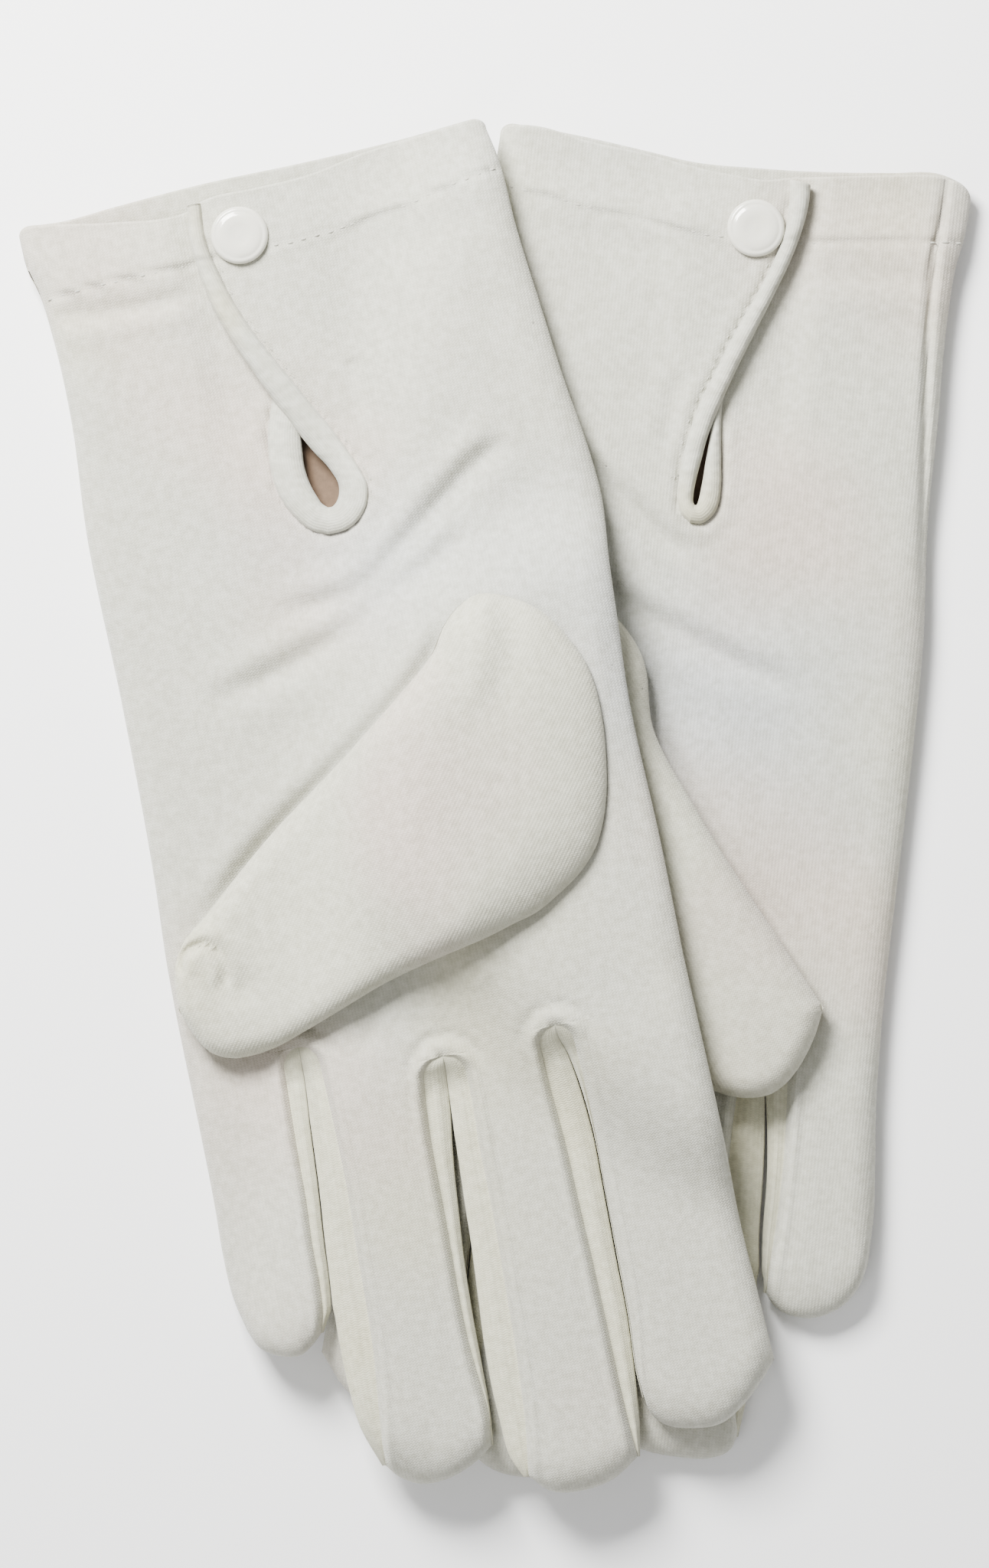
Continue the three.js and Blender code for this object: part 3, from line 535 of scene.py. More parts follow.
def mesh_object(name, points, faces, mat, uv=None, normals=None):
    """points and uv are in millimetres, one uv pair and one normal to a point."""
    mesh = bpy.data.meshes.new(name)
    mesh.from_pydata([tuple(p) for p in np.asarray(points) * MM], [],
                     [tuple(int(i) for i in f) for f in faces])
    mesh.update()
    if uv is not None:
        layer = mesh.uv_layers.new(name="UVMap")
        loops = np.empty(len(mesh.loops), np.int32)
        mesh.loops.foreach_get("vertex_index", loops)
        layer.data.foreach_set("uv", (np.asarray(uv)[loops] * MM).astype(np.float32).ravel())
    for p in mesh.polygons:
        p.use_smooth = True
    if normals is not None:
        mesh.normals_split_custom_set_from_vertices([tuple(n) for n in normals])
    mesh.materials.append(mat)
    o = bpy.data.objects.new(name, mesh)
    bpy.context.scene.collection.objects.link(o)
    return o


def grid_faces(rows, columns):
    k = np.arange(rows * columns).reshape(rows, columns)
    return np.stack([k[:-1, :-1], k[:-1, 1:], k[1:, 1:], k[1:, :-1]], -1).reshape(-1, 4)


def surface_grid(surface, A, B, towards):
    """Points, quads, normals and uv of surface(a, b) -> (x, y, z, u, v).
    towards is roughly its outward side."""
    a, b = np.meshgrid(A, B)
    e = 2e-3
    x, y, z, u, v = surface(a, b)
    P = np.stack([x, y, z], -1)
    Pa = np.stack(surface(a + e, b)[:3], -1) - np.stack(surface(a - e, b)[:3], -1)
    Pb = np.stack(surface(a, b + e)[:3], -1) - np.stack(surface(a, b - e)[:3], -1)
    N = np.cross(Pa, Pb)
    N /= np.maximum(np.linalg.norm(N, axis=-1, keepdims=True), 1e-12)
    quads = grid_faces(*a.shape)
    if (N.reshape(-1, 3) @ np.asarray(towards, float)).sum() < 0:
        N, quads = -N, quads[:, ::-1]
    return P.reshape(-1, 3), quads, N.reshape(-1, 3), np.stack([u, v], -1).reshape(-1, 2)


def keep_faces(points, quads, normals, uv, keep):
    """The grid's faces that are kept, with only the points that they use."""
    quads = quads[keep]
    used, back = np.unique(quads, return_inverse=True)
    return points[used], back.reshape(-1, 4), normals[used], uv[used]


def steps(width, edge_low, edge_high, step, edge=5.0):
    """Fractions across a strip, closer together near an edge that rolls over."""
    roll = [edge * (1 - math.cos(math.radians(q))) for q in range(0, 90, 9)]
    low = roll if edge_low else [0.0]
    high = [width - q for q in reversed(roll)] if edge_high else [width]
    n = max(int(round((high[0] - low[-1]) / step)), 2)
    middle = np.linspace(low[-1], high[0], n + 1)[1:-1]
    return np.array(list(low) + list(middle) + list(high)) / width


def rolled(d, r):
    """A quarter circle: 0 at an edge, 1 from r inside it."""
    return np.sqrt(np.clip(1 - (1 - np.clip(d / r, 0, 1)) ** 2, 0, 1))


def turn_faces(profile, n):
    """A solid of revolution from (radius, height) pairs."""
    points, faces, rings = [], [], []
    for r, z in profile:
        if r < 1e-6:
            rings.append([len(points)])
            points.append((0, 0, z))
        else:
            rings.append(list(range(len(points), len(points) + n)))
            points += [(r * math.cos(2 * math.pi * k / n), r * math.sin(2 * math.pi * k / n), z)
                       for k in range(n)]
    for low, high in zip(rings, rings[1:]):
        for i in range(n):
            j = (i + 1) % n
            if len(low) == 1 and len(high) > 1:
                faces.append((low[0], high[j], high[i]))
            elif len(high) == 1 and len(low) > 1:
                faces.append((low[i], low[j], high[0]))
            elif len(low) > 1:
                faces.append((low[i], low[j], high[j], high[i]))
    return points, faces


class Field:
    """A smooth height over the plane, held on a grid and read with cubic weights."""
    def __init__(self, function, low, high, step, blur):
        self.low, self.step = np.array(low, float), step
        nx, ny = [int((high[k] - low[k]) / step) + 1 for k in (0, 1)]
        x, y = np.meshgrid(low[0] + step * np.arange(nx), low[1] + step * np.arange(ny))
        z = function(x, y)
        w = np.exp(-0.5 * (np.arange(-3 * blur, 3 * blur + 1) / blur) ** 2)
        w /= w.sum()
        for axis in (0, 1):
            pad = np.pad(z, [(3 * blur, 3 * blur) if k == axis else (0, 0) for k in (0, 1)], mode="edge")
            z = np.apply_along_axis(lambda row: np.convolve(row, w, mode="valid"), axis, pad)
        self.z = z

    def __call__(self, x, y):
        fx = np.clip((x - self.low[0]) / self.step, 1, self.z.shape[1] - 3.001)
        fy = np.clip((y - self.low[1]) / self.step, 1, self.z.shape[0] - 3.001)
        ix, iy = np.floor(fx).astype(int), np.floor(fy).astype(int)

        def weights(t):
            return [((1 - t) ** 3) / 6, (3 * t ** 3 - 6 * t ** 2 + 4) / 6,
                    (-3 * t ** 3 + 3 * t ** 2 + 3 * t + 1) / 6,
                    t ** 3 / 6]
        wx, wy = weights(fx - ix), weights(fy - iy)
        return sum(wy[j] * wx[i] * self.z[iy + j - 1, ix + i - 1] for i in range(4) for j in range(4))


# ---------- A glove's shape ----------

def near_cuff(v):
    return 1 - smoothstep((v - 36) / 24)


def hinge(v):
    """u on the flap's fold line."""
    return 15.5 - 3.9 * np.asarray(v, float) / 60


class Glove:
    def __init__(self, side, data):
        self.side, self.data, self.hand = side, data, HAND[side]
        t = math.radians(TURN[side])
        self.c, self.s = math.cos(t), math.sin(t)
        low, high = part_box(f"{side}_snap_cap")
        cx, cy = [(low[k] + high[k]) / 2 / MM for k in (0, 1)]
        x, y = self.hand * SNAP[0], -SNAP[1]
        self.x0 = cx - (x * self.c - y * self.s)
        self.y0 = cy - (x * self.s + y * self.c)
        self.lift = lambda x, y: 0.0 * x
        self.low_edge, self.high_edge, self.cuff, self.back_cuff, self.hem = (
            smooth(data[key]) for key in ("side", "fold", "cuff", "back", "hem"))

    def plan(self, u, v):
        return self.x0 + self.hand * u * self.c + v * self.s, self.y0 + self.hand * u * self.s - v * self.c

    def place(self, u, v, z):
        """A point at height z above the glove's own underside, in the row frame."""
        x, y = self.plan(u, v)
        return x, y, z + self.lift(x, y)

    def at(self, u, v, z):
        return tuple(float(c) * MM for c in self.place(np.float64(u), np.float64(v), np.float64(z)))

    def direction(self, u, v):
        return np.array([self.hand * u * self.c + v * self.s, self.hand * u * self.s - v * self.c, 0.0])

    def creased(self, u, v):
        z = 0.0 * u
        for c in self.data["creases"]:
            d, side, place = distance(u, v, path(c["line"], 24))
            s, w = d * side, c["width"]
            z = z + faded(place, 0.12,
                          0.25) * (-c["depth"] * bell(d, w) + c["lip"] * bell(s - 1.9 * w, 1.2 * w)
                                                + 0.6 * c["lip"] * bell(s + 2.3 * w, 1.6 * w))
        return z

    def waves(self, u, v):
        """Slow unevenness of cloth that lies loose."""
        s = 1.0 if self.side == "left" else 2.3
        return (0.22 * np.sin(u / 9.5 + s + 0.6 * np.sin(v / 17 + s)) * np.sin(v / 19 + 0.7 * s)
                + 0.13 * np.sin(u / 5.1 - v / 13 + 2 * s) * np.sin(v / 8.7 + s))

    def crotch_ring(self, u, v):
        """The palm puckers into a soft rim above each fourchette's rounded end."""
        z = 0.0 * u
        for gap in self.data["gaps"]:
            u0, v0 = gap["at"]
            r = np.hypot(u - u0, (v - v0 - 2.6))
            z = z + (0.60 * bell(r - 4.3, 1.2) - 0.35 * bell(r - 6.6, 1.0)) * smoothstep((v0 + 4.0 - v) / 4)
        return z

    def palm_top(self, u, v):
        z = HAND_DEPTH + self.creased(u, v) + self.waves(u, v) * smoothstep((JOIN + 4 - v) / 25)
        d, _, _ = distance(u, v, path(self.data["ribbon_out"][1:], 70))
        z = z - 0.5 * bell(d, 0.55) + 0.22 * bell(d - 2.0, 1.2)
        z = z - 1.5 * (1 - smoothstep(v / 13.0)) * (1 - bell(u - SNAP[0], 9.0))
        line = self.hem(u)
        z = z + 0.3 * (1 - smoothstep((v - line) / 1.4)) - 0.42 * bell(v - line, 0.55)
        return z + self.crotch_ring(u, v) * (v < JOIN + 0.5)

    def rounded(self, u, v, z, r=6.0):
        """The height z, falling to the middle at the glove's two sides."""
        e = rolled(u - self.low_edge(v), r) * rolled(self.high_edge(v) - u, r)
        return MID + (z - MID) * e

    def drop(self, u, v):
        """How far the underlap lies below the flap."""
        near = np.exp(-((u - SNAP[0]) ** 2 + (v - SNAP[1]) ** 2) / 60)
        return (1.5 + 1.6 * near) * smoothstep((u + 19) / 7) * (1 - smoothstep((u - 5) / 6)) * near_cuff(v)

    def flap_top(self, u, v):
        return self.palm_top(u, v) + 0.8 * smoothstep((hinge(v) - u) / 8) * near_cuff(v)

    def underlap_top(self, u, v):
        return self.palm_top(u, v) - self.drop(u, v)


left, right = Glove("left", LEFT), Glove("right", RIGHT)


def outline_of(glove):
    d = glove.data
    points = [(u, v) for v, u in d["side"]] + [(u, v) for v, u in d["outer"]]
    for finger in ("little", "ring", "middle", "index"):
        points += d["tips"][finger]
    return points + [(u, v) for v, u in reversed(d["inner"])] + [(u, v) for v, u in reversed(d["fold"])]


def drape(x, y):
    """Height of the upper glove's underside: it follows the lower glove and its thumb down to the floor."""
    z = FLOOR_GAP + 0.0 * x
    thumb = RIGHT["thumb_top"] + list(reversed(RIGHT["thumb_bottom"]))
    for points, rise in ((outline_of(right), HAND_DEPTH + STACK_GAP), (thumb, THUMB_DEPTH + THUMB_GAP)):
        outline = [tuple(right.plan(u, v)) for u, v in points]
        d, _, _ = distance(x, y, outline, closed=True)
        d = np.where(inside(x, y, outline), 0, d)
        z = z + rise * smoothstep(1 - (d - RAMP_START) / RAMP)
    return z


FIELD_MARGIN, FIELD_STEP, FIELD_BLUR = 12, 1.5, 2
left.lift = Field(drape, [c / MM - FIELD_MARGIN for c in cad_box[0][:2]],
                  [c / MM + FIELD_MARGIN for c in cad_box[1][:2]], FIELD_STEP, FIELD_BLUR)


# ---------- Palm, back and flap ----------

# Rows of the palm and the back run from the hem's inner layer (q below 0) round its turned edge to the
# knuckles.

def hem_rows(inner, turned, first, start, step):
    """Rows on the inner layer, at these parts of the turn,
    at these first distances from the edge, then evenly."""
    row = list(-(HEM_ROLL * math.pi) - np.array(inner)) + [-HEM_ROLL * math.pi * q for q in turned]
    row = np.array(row + list(np.concatenate([first, np.arange(start, JOIN, step)])))
    row[-1] = JOIN
    return row


def past_roll(q):
    return np.maximum(-q - math.pi * HEM_ROLL, 0)


def row_ends(g, q):
    """Where a row starts and ends across the glove, and the v that its sides are read at."""
    inner = past_roll(q)
    v = np.where(q >= 0, np.minimum(q, JOIN), inner)
    inset = HEM_INSET * smoothstep(inner / 1.0)
    return g.low_edge(v) + inset, g.high_edge(v) - inset, v


def hem_turn(g, cuff, u, q):
    """v along the glove, and how far the hem's roll has taken the cloth inwards."""
    start = cuff(u) + corner(u, g.low_edge(0.0), g.high_edge(0.0))
    turn = np.clip(-q / HEM_ROLL, 0, math.pi)
    v = np.where(q >= 0, start * (1 - q / JOIN) + q, start - HEM_ROLL * np.sin(turn) + past_roll(q))
    return v, np.where(q >= 0, 0, HEM_ROLL * (1 - np.cos(turn)))


def corner(u, low, high, r=2.6):
    """How far the cuff's edge draws back at its two corners."""
    d = np.clip(np.minimum(u - low, high - u), 0, r)
    return 0.8 * (r - np.sqrt(r * r - (r - d) ** 2))


def ribbon_lines(g):
    """The bound edge's two sides, cuff to keyhole on the flap and keyhole to cuff on the underlap."""
    inner, outer = np.array(g.data["ribbon_in"], float), np.array(g.data["ribbon_out"], float)
    bottom = int(np.argmax(inner[:, 1] + outer[:, 1]))
    return inner, outer, bottom


def vent_regions(g):
    """Outlines of the flap and of the hole in the palm, both reaching past the cuff."""
    inner, outer, k = ribbon_lines(g)
    middle = [tuple(p) for p in (inner + outer) / 2]
    beside_flap = [p for p in middle[:k + 1] if p[1] < 60]
    round_end = [p for p in middle[:k + 1] if p[1] >= beside_flap[-1][1]]
    fold = [(float(hinge(v)), v) for v in (60, -30)]
    flap = [(middle[0][0], -30)] + beside_flap + fold
    vent = [(3.0, -30)] + g.data["underlap"][::-1] + middle[k:][::-1] + round_end[::-1] + fold
    return flap, vent


def flap_bend(g):
    """The two bodies and the two points between which the cloth turns from one to the other."""
    u = float(hinge(FLAP_BEND))
    return (f"{g.side}_glove", f"{g.side}_flap", g.at(u, FLAP_BEND, HAND_DEPTH),
            g.at(u - 3.5, FLAP_BEND - 0.25, HAND_DEPTH))


def build_palm(g):
    """The palm and the flap, cut from two copies of one grid that has a column on the flap's fold line."""
    rows = hem_rows([9.0, 5.5, 3.0, 1.3, 0.5], (1, 0.84, 0.67, 0.5, 0.33, 0.17), [0, 0.35, 0.8, 1.4, 2.2],
                    3.2, 1.15)
    cols = np.concatenate([steps(60, True, False, 1.15) * 0.5, 0.5 + steps(33, False, True, 1.15)[1:] * 0.5])

    def shape(a, q, top):
        low, high, v = row_ends(g, q)
        mid = hinge(v)
        u = np.where(a < 0.5, low + (mid - low) * a * 2, mid + (high - mid) * (a * 2 - 1))
        v, inward = hem_turn(g, g.cuff, u, q)
        v_in = np.maximum(v, 0.0)
        z = g.rounded(u, v_in, top(u, v_in) - inward)
        return *g.place(u, v, z), u, v

    flap, vent = vent_regions(g)
    for name, node_name, top in (("palm", "palm_panel", g.underlap_top),
                                 ("flap_panel", "wrist_flap", g.flap_top)):
        points, quads, normals, uv = surface_grid(lambda a, q: shape(a, q, top), cols, rows, (0, 0, 1))
        centre = uv[quads].mean(axis=1)
        u, v = centre[:, 0], np.where(centre[:, 1] < 0, -5, centre[:, 1])
        keep = ~inside(u, v, vent) if name == "palm" else inside(u, v, flap)
        points, quads, normals, uv = keep_faces(points, quads, normals, uv, keep)
        o = mesh_object(f"{g.side}_{name}", points, quads, KNIT, uv, normals)
        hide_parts(f"{g.side}_{node_name}")
        if name == "palm":
            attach(o, f"{g.side}_glove")
        else:
            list(flap_bend(g))
            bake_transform(o)


def build_back(g):
    """The back of the hand, cuff to knuckles, with three rows of raised stitching down its middle."""
    rows = hem_rows([9.0, 5.0, 2.0, 0.6], (1, 0.75, 0.5, 0.25), [0, 0.5, 1.2, 2.2], 3.6, 1.5)
    cols = steps(93, True, True, 1.5)

    def shape(a, q):
        low, high, _ = row_ends(g, q)
        u = low + (high - low) * a
        v, inward = hem_turn(g, g.back_cuff, u, q)
        v_in = np.maximum(v, 0)
        z = BOTTOM + 0.45 + 2.3 * (1 - smoothstep(v_in / 16.0))
        for centre, lean in ((-22, -0.03), (2, 0.0), (26, 0.03)):
            line = centre + lean * (v_in - 60)
            z = z - 0.45 * bell(u - line, 0.9) * smoothstep((v_in - 48) / 6) * smoothstep((150 - v_in) / 6)
        return *g.place(u, v, g.rounded(u, v_in, z + inward)), u, v
    points, quads, normals, uv = surface_grid(shape, cols, rows, (0, 0, -1))
    o = mesh_object(f"{g.side}_back", points, quads, KNIT, uv, normals)
    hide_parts(f"{g.side}_back_panel")
    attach(o, f"{g.side}_glove")


def build_card_painted_shade(g):
    """The plain brown card that stiffens the pair for display, seen only through the keyhole; its own brown
    is darkened with painted shade of the glove's hollow.
    """
    def shape(a, b, face):
        u, v = -24 + 50 * a, 46 + 84 * b
        return *g.place(u, v, 3.3 + 0.12 * np.sin(u / 7) * np.sin(v / 11) + 0.25 * face), u, v
    sides = [surface_grid(lambda a, b: shape(a, b, face), np.linspace(0, 1, 25), np.linspace(0, 1, 41),
                          (0, 0, face))
             for face in (1, -1)]
    points, quads, normals, uv = (np.vstack(both) for both in zip(*sides))
    half = len(quads) // 2
    quads[half:] += len(points) // 2
    o = mesh_object(f"{g.side}_stiffening_card_painted_shade", points, quads, CARD_PAINTED_SHADE, uv, normals)
    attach(o, f"{g.side}_glove")


# ---------- The bound edge ----------

# the binding's cross-section, from its outer side (0) to its inner side (1), and its height as a share of
# its thickness
SECTION = path([(0.0, -0.35), (0.03, 0.15), (0.12, 0.5), (0.3, 0.78), (0.5, 0.92), (0.72, 0.86), (0.9, 0.5),
                (1.0, -0.1), (0.98, -0.7), (0.86, -1.05), (0.6, -1.2), (0.3, -1.2)], 22)


def ribbon(g, name, inner, outer, height, n, closed_end, pucker=0.07):
    """A padded strip between two lines.
    height(u, v) is the cloth it is sewn to, closed_end its first or last row."""
    centre = (inner + outer) / 2
    d = np.concatenate([[0], np.cumsum(np.linalg.norm(np.diff(centre, axis=0), axis=1))])
    d /= d[-1]
    t = np.linspace(0, 1, n)
    inner, outer = (np.stack([smooth(list(zip(d, line[:, k])))(t) for k in (0, 1)], 1)
                    for line in (inner, outer))
    base = height(*((inner + outer) / 2).T)
    w, h = SECTION[:, 0], SECTION[:, 1] * RIBBON_THICKNESS
    points, uv = [], []
    for k in range(n):
        u, v = (outer[k] + (inner[k] - outer[k]) * w[:, None]).T
        wave = pucker * np.sin(k * 0.9 + w * 3.0) * np.sin(k * 0.37) * (h > 0) * min(k, n - 1 - k, 8) / 8
        points.append(np.stack(g.place(u, v, base[k] + h + wave), 1))
        uv.append(np.stack([w * np.linalg.norm(inner[k] - outer[k]), np.full(len(w), k * 0.8)], 1))
    points = np.array(points)
    m = points.shape[1]
    faces = grid_faces(n, m)
    # the outside faces up at the crown
    k, crown = n // 2, int(np.argmax(SECTION[:, 1]))
    along_row, along_strip = points[k, crown + 1] - points[k, crown], points[k + 1, crown] - points[k, crown]
    if np.cross(along_row, along_strip)[2] < 0:
        faces = faces[:, ::-1]
    cap = np.arange(m) if closed_end == "first" else np.arange(n * m - m, n * m)[::-1]
    o = mesh_object(name, points.reshape(-1, 3), list(faces) + [cap], BINDING, np.array(uv).reshape(-1, 2))
    return o


def build_ribbons(g):
    inner, outer, k = ribbon_lines(g)
    edge = ribbon(g, f"{g.side}_flap_edge", inner[:k + 1], outer[:k + 1], lambda u, v: g.flap_top(u, v) + 0.2,
                  150,
                  "first")
    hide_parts(f"{g.side}_flap_binding")
    g.at(9.0, 62.5, HAND_DEPTH)
    g.at(4.5, 48.0, HAND_DEPTH)
    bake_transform(edge)
    under = np.array(g.data["underlap"])
    ahead = np.gradient(under, axis=0)
    ahead /= np.linalg.norm(ahead, axis=1, keepdims=True)
    aside = np.stack([-ahead[:, 1], ahead[:, 0]], 1) * 1.6
    if aside[0][0] < 0:
        aside = -aside
    keyhole = ribbon(g, f"{g.side}_keyhole_edge", np.vstack([inner[k:], under + aside]),
                     np.vstack([outer[k:], under - aside]), lambda u, v: g.underlap_top(u, v) + 0.2, 170,
                     "last")
    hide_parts(f"{g.side}_slit_binding")
    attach(keyhole, f"{g.side}_glove")


# ---------- Fingers ----------

ORDER = ("index", "middle", "ring", "little")
# rows past a crotch, round the fourchette's end
ROUND_END = np.array([0, 0.1, 0.3, 0.6, 1.0, 1.5, 2.1, 2.8, 3.6])
SEAM_COLS = np.array([0.3, 0.7, 1.1, 1.5, 2.0])                      # columns beside a seam


def seam_path(gap, side):
    """The seam round the fourchette's end and down the finger, as u at v."""
    u0, v0 = gap["at"]
    f = smooth(gap[f"{side}_seam"])
    v1 = max(v0 + ROUND_END[-1], gap[f"{side}_seam"][0][0])

    def line(v):
        v = np.asarray(v, float)
        return u0 + (f(np.maximum(v, v1)) - u0) * rolled(v - v0, v1 - v0)
    return line


def side_path(gap, side):
    """The outer line of a gusset: both sides share it in the web of the fingers and part slowly beyond."""
    u0, v0 = gap["at"]
    this, other = (smooth(gap[f"{k}_side"]) for k in (side, "low" if side == "high" else "high"))
    start = gap[f"{side}_side"][0][0]

    def line(v):
        v = np.asarray(v, float)
        w = np.maximum(v, start)
        mid = (this(w) + other(np.minimum(w, gap["ends"]))) / 2
        mid = u0 + (mid - u0) * smoothstep((v - v0) / 6.0)
        part = smoothstep((v - v0 - gap["web"]) / 22.0) * gap["open"]
        past = smoothstep((v - gap["ends"]) / 3.0)
        return mid + (this(w) - mid) * np.maximum(part, past)
    return line


def finger_frame(g, name):
    """Boundary lines of one finger: low side towards the little finger, high side towards the thumb."""
    k = ORDER.index(name)
    gaps, tip = g.data["gaps"], g.data["tips"][name]
    f = dict(name=name, tip=tip, low=gaps[k] if k < 3 else None, high=gaps[k - 1] if k > 0 else None,
             low_end=tip[0][1], high_end=tip[-1][1], low_number=k + 1, high_number=k)
    for side, across, edge in (("low", "high", "outer"), ("high", "low", "inner")):
        f[f"{side}_seam"] = seam_path(f[side], across) if f[side] else smooth(g.data[edge])
        f[f"{side}_side"] = side_path(f[side], across) if f[side] else f[f"{side}_seam"]
    return f


def finger_rows(f):
    """Rows from palm to tip, closer together round each fourchette's end and at the tip."""
    rows = list(np.linspace(0, 1, 70))
    for side in ("low", "high"):
        if f[side]:
            rows += list((f[side]["at"][1] + ROUND_END - JOIN) / (f[f"{side}_end"] - JOIN))
    rows += [1 - q / (f["high_end"] - JOIN) for q in (0.4, 0.8, 1.2, 1.8, 2.5, 3.4, 4.4)]
    kept = []
    for row in sorted(rows):
        if not kept or row - kept[-1] > 0.0009:
            kept.append(row)
    kept[-1] = 1.0
    return np.array(kept)


def finger_cols(f, width=24.0):
    """Columns across a finger of about this width, closer together beside a seam or a rolled edge."""
    cols = steps(width, f["low"] is None, f["high"] is None, 0.8)
    if f["low"]:
        cols = np.unique(np.concatenate([cols, SEAM_COLS / width]))
    if f["high"]:
        cols = np.unique(np.concatenate([cols, 1 - SEAM_COLS / width]))
    cols = cols[np.concatenate([[True], np.diff(cols) > 0.004])]
    cols[-1] = 1.0
    return cols


def finger_plan(f, a, b):
    """u and v in a patch between the two seams and the tip, and the two seams' u."""
    tip = along(f["tip"], np.clip(a, 0, 1))
    vl = JOIN + (f["low_end"] - JOIN) * b
    vh = JOIN + (f["high_end"] - JOIN) * b
    ul, uh = f["low_seam"](vl), f["high_seam"](vh)
    ul1, uh1 = f["low_seam"](f["low_end"]), f["high_seam"](f["high_end"])
    k = smoothstep((b - 0.72) / 0.28) ** 1.2
    u = ul * (1 - a) + uh * a + k * (tip[..., 0] - (ul1 * (1 - a) + uh1 * a))
    v = vl * (1 - a) + vh * a + k * (tip[..., 1] - (f["low_end"] * (1 - a) + f["high_end"] * a))
    return u, v, ul, uh


def finger_height(g, f, a, b, side):
    """u, v and the height of a finger's palm side (side 1) or back (side -1)."""
    u, v, ul, uh = finger_plan(f, a, b)
    grown = smoothstep((v - JOIN - 1) / 14)
    if side > 0:
        top = g.palm_top(u, v) * (1 - grown) + (7.7 + 0.5 * g.waves(u * 1.3, v)) * grown
    else:
        top = BOTTOM + 0.45 * (1 - grown) + 0 * u
    width = np.maximum(uh - ul, 0.5)
    z = top
    for gap, d in ((f["low"], a * width), (f["high"], (1 - a) * width)):
        d = np.maximum(d, 0)
        if not gap:
            z = MID + (z - MID) * rolled(d, 5.0)
            continue
        past = v - gap["at"][1]
        depth = smoothstep((past + 1.0) / 8)
        edge = top * (1 - depth) + (SEAM_TOP if side > 0 else SEAM_LOW) * depth
        near = 1 - rolled(d, 6.5)
        z = z + (edge - top) * near * (np.abs(near) ** 0.15)
        if side > 0:
            lip = smoothstep((past + 3) / 5) * (1 - 0.6 * smoothstep((past - 10) / 20))
            z = z + lip * 0.30 * bell(d - 1.5, 1.1) + depth * (0.38 * bell(d - 1.6, 0.9)
                                                               - 0.75 * bell(d, 0.6))
    z = MID + (z - MID) * rolled((1 - b) * (f["high_end"] - JOIN), 6.5)
    if side > 0:
        z = z + g.crotch_ring(u, v)
    return u, v, z


def build_fourchette(g, f, which):
    """Half of the folded strip between two fingers, from this finger's palm seam round to its back seam."""
    end, seam, outer = f[f"{which}_end"], f[f"{which}_seam"], f[f"{which}_side"]
    v0 = f[which]["at"][1]
    rows = (np.concatenate([v0 + ROUND_END, np.arange(v0 + 4.6, end - 0.6, 1.2), [end]])
            - JOIN) / (end - JOIN)
    at_seam = 0.0 if which == "low" else 1.0

    def shape(c, b):
        v = JOIN + (end - JOIN) * b
        us, uo = seam(v), outer(v)
        front, back = (finger_height(g, f, np.full(np.shape(v), at_seam), b, side)[2] for side in (1, -1))
        sink = smoothstep((v - v0) / 9)
        fold = front * (1 - sink) + MID * sink
        turn = math.pi * np.clip(c, -0.02, 1.02)
        z = fold + np.where(c < 0.5, front - fold, fold - back) * np.cos(turn)
        z = z + 0.50 * bell(c - 0.17, 0.09) * sink
        return *g.place(us + (uo - us) * np.sin(turn), v, z), c * 9.0, v
    outward = g.direction(-1.0 if which == "low" else 1.0, 0)
    points, quads, normals, uv = surface_grid(shape, np.linspace(0, 1, 17), rows, outward)
    name = f"{g.side}_fourchette_{f[f'{which}_number']}_{f['name']}"
    o = mesh_object(f"{name}_cloth", points, quads, GUSSET, uv, normals)
    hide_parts(name)
    return o


def build_finger(g, name):
    f = finger_frame(g, name)
    rows, cols = finger_rows(f), finger_cols(f)
    made = []
    for side, label in ((1, "palm_side"), (-1, "back_side")):
        def shape(a, b):
            u, v, z = finger_height(g, f, a, b, side)
            return *g.place(u, v, z), u, v
        points, quads, normals, uv = surface_grid(shape, cols, rows, (0, 0, side))
        o = mesh_object(f"{g.side}_{name}_{label}_cloth", points, quads, KNIT, uv, normals)
        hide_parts(f"{g.side}_{name}_{label}")
        made.append(o)
    made += [build_fourchette(g, f, which) for which in ("low", "high") if f[which]]
    middle = float(np.mean([f["tip"][0][0], f["tip"][-1][0]]))
    for o in made:
        if g.side == "left" or name == "little":
            g.at(middle, KNUCKLES - 1.5, HAND_DEPTH)
            g.at(middle, KNUCKLES + 10, HAND_DEPTH)
            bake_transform(o)
        else:
            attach(o, f"{g.side}_glove")


# ---------- Thumb ----------

CURL = [(-42.6, 142.5), (-41.2, 138.6), (-37.4, 137.4), (-34.6, 139.8), (-34.2, 143.6), (-36.2, 147.4)]
HOLLOW = (-32.4, 146.6)
RIDGE = [(25.8, 83.0), (25.0, 91.0), (22.6, 99.0), (17.6, 108.0)]
TUCK = [(13.6, 95.6), (16.8, 91.4), (21.2, 87.0), (26.6, 85.0)]
THUMB_GRAIN = math.radians(-37)  # the knit's direction


def left_thumb_folds(u, v):
    """The seam that curls over the tip, a ridge at the root and a tuck above it."""
    d, _, place = distance(u, v, path(CURL, 24))
    ends = faded(place, 0.06, 0.2)
    z = 0.5 * bell(d - 1.9, 1.1) * ends - 1.6 * bell(d, 0.75) * ends
    z = z - 1.1 * bell(np.hypot(u - HOLLOW[0], v - HOLLOW[1]), 3.2)
    d, side, place = distance(u, v, path(RIDGE, 24))
    z = z + smoothstep((1 - place) / 0.45) * (0.5 * bell(d, 2.2) - 0.75 * bell(d * side + 4.6, 3.2))
    d, _, place = distance(u, v, path(TUCK, 24))
    return z - 0.9 * bell(d, 1.0) * faded(place, 0.2, 0.2)


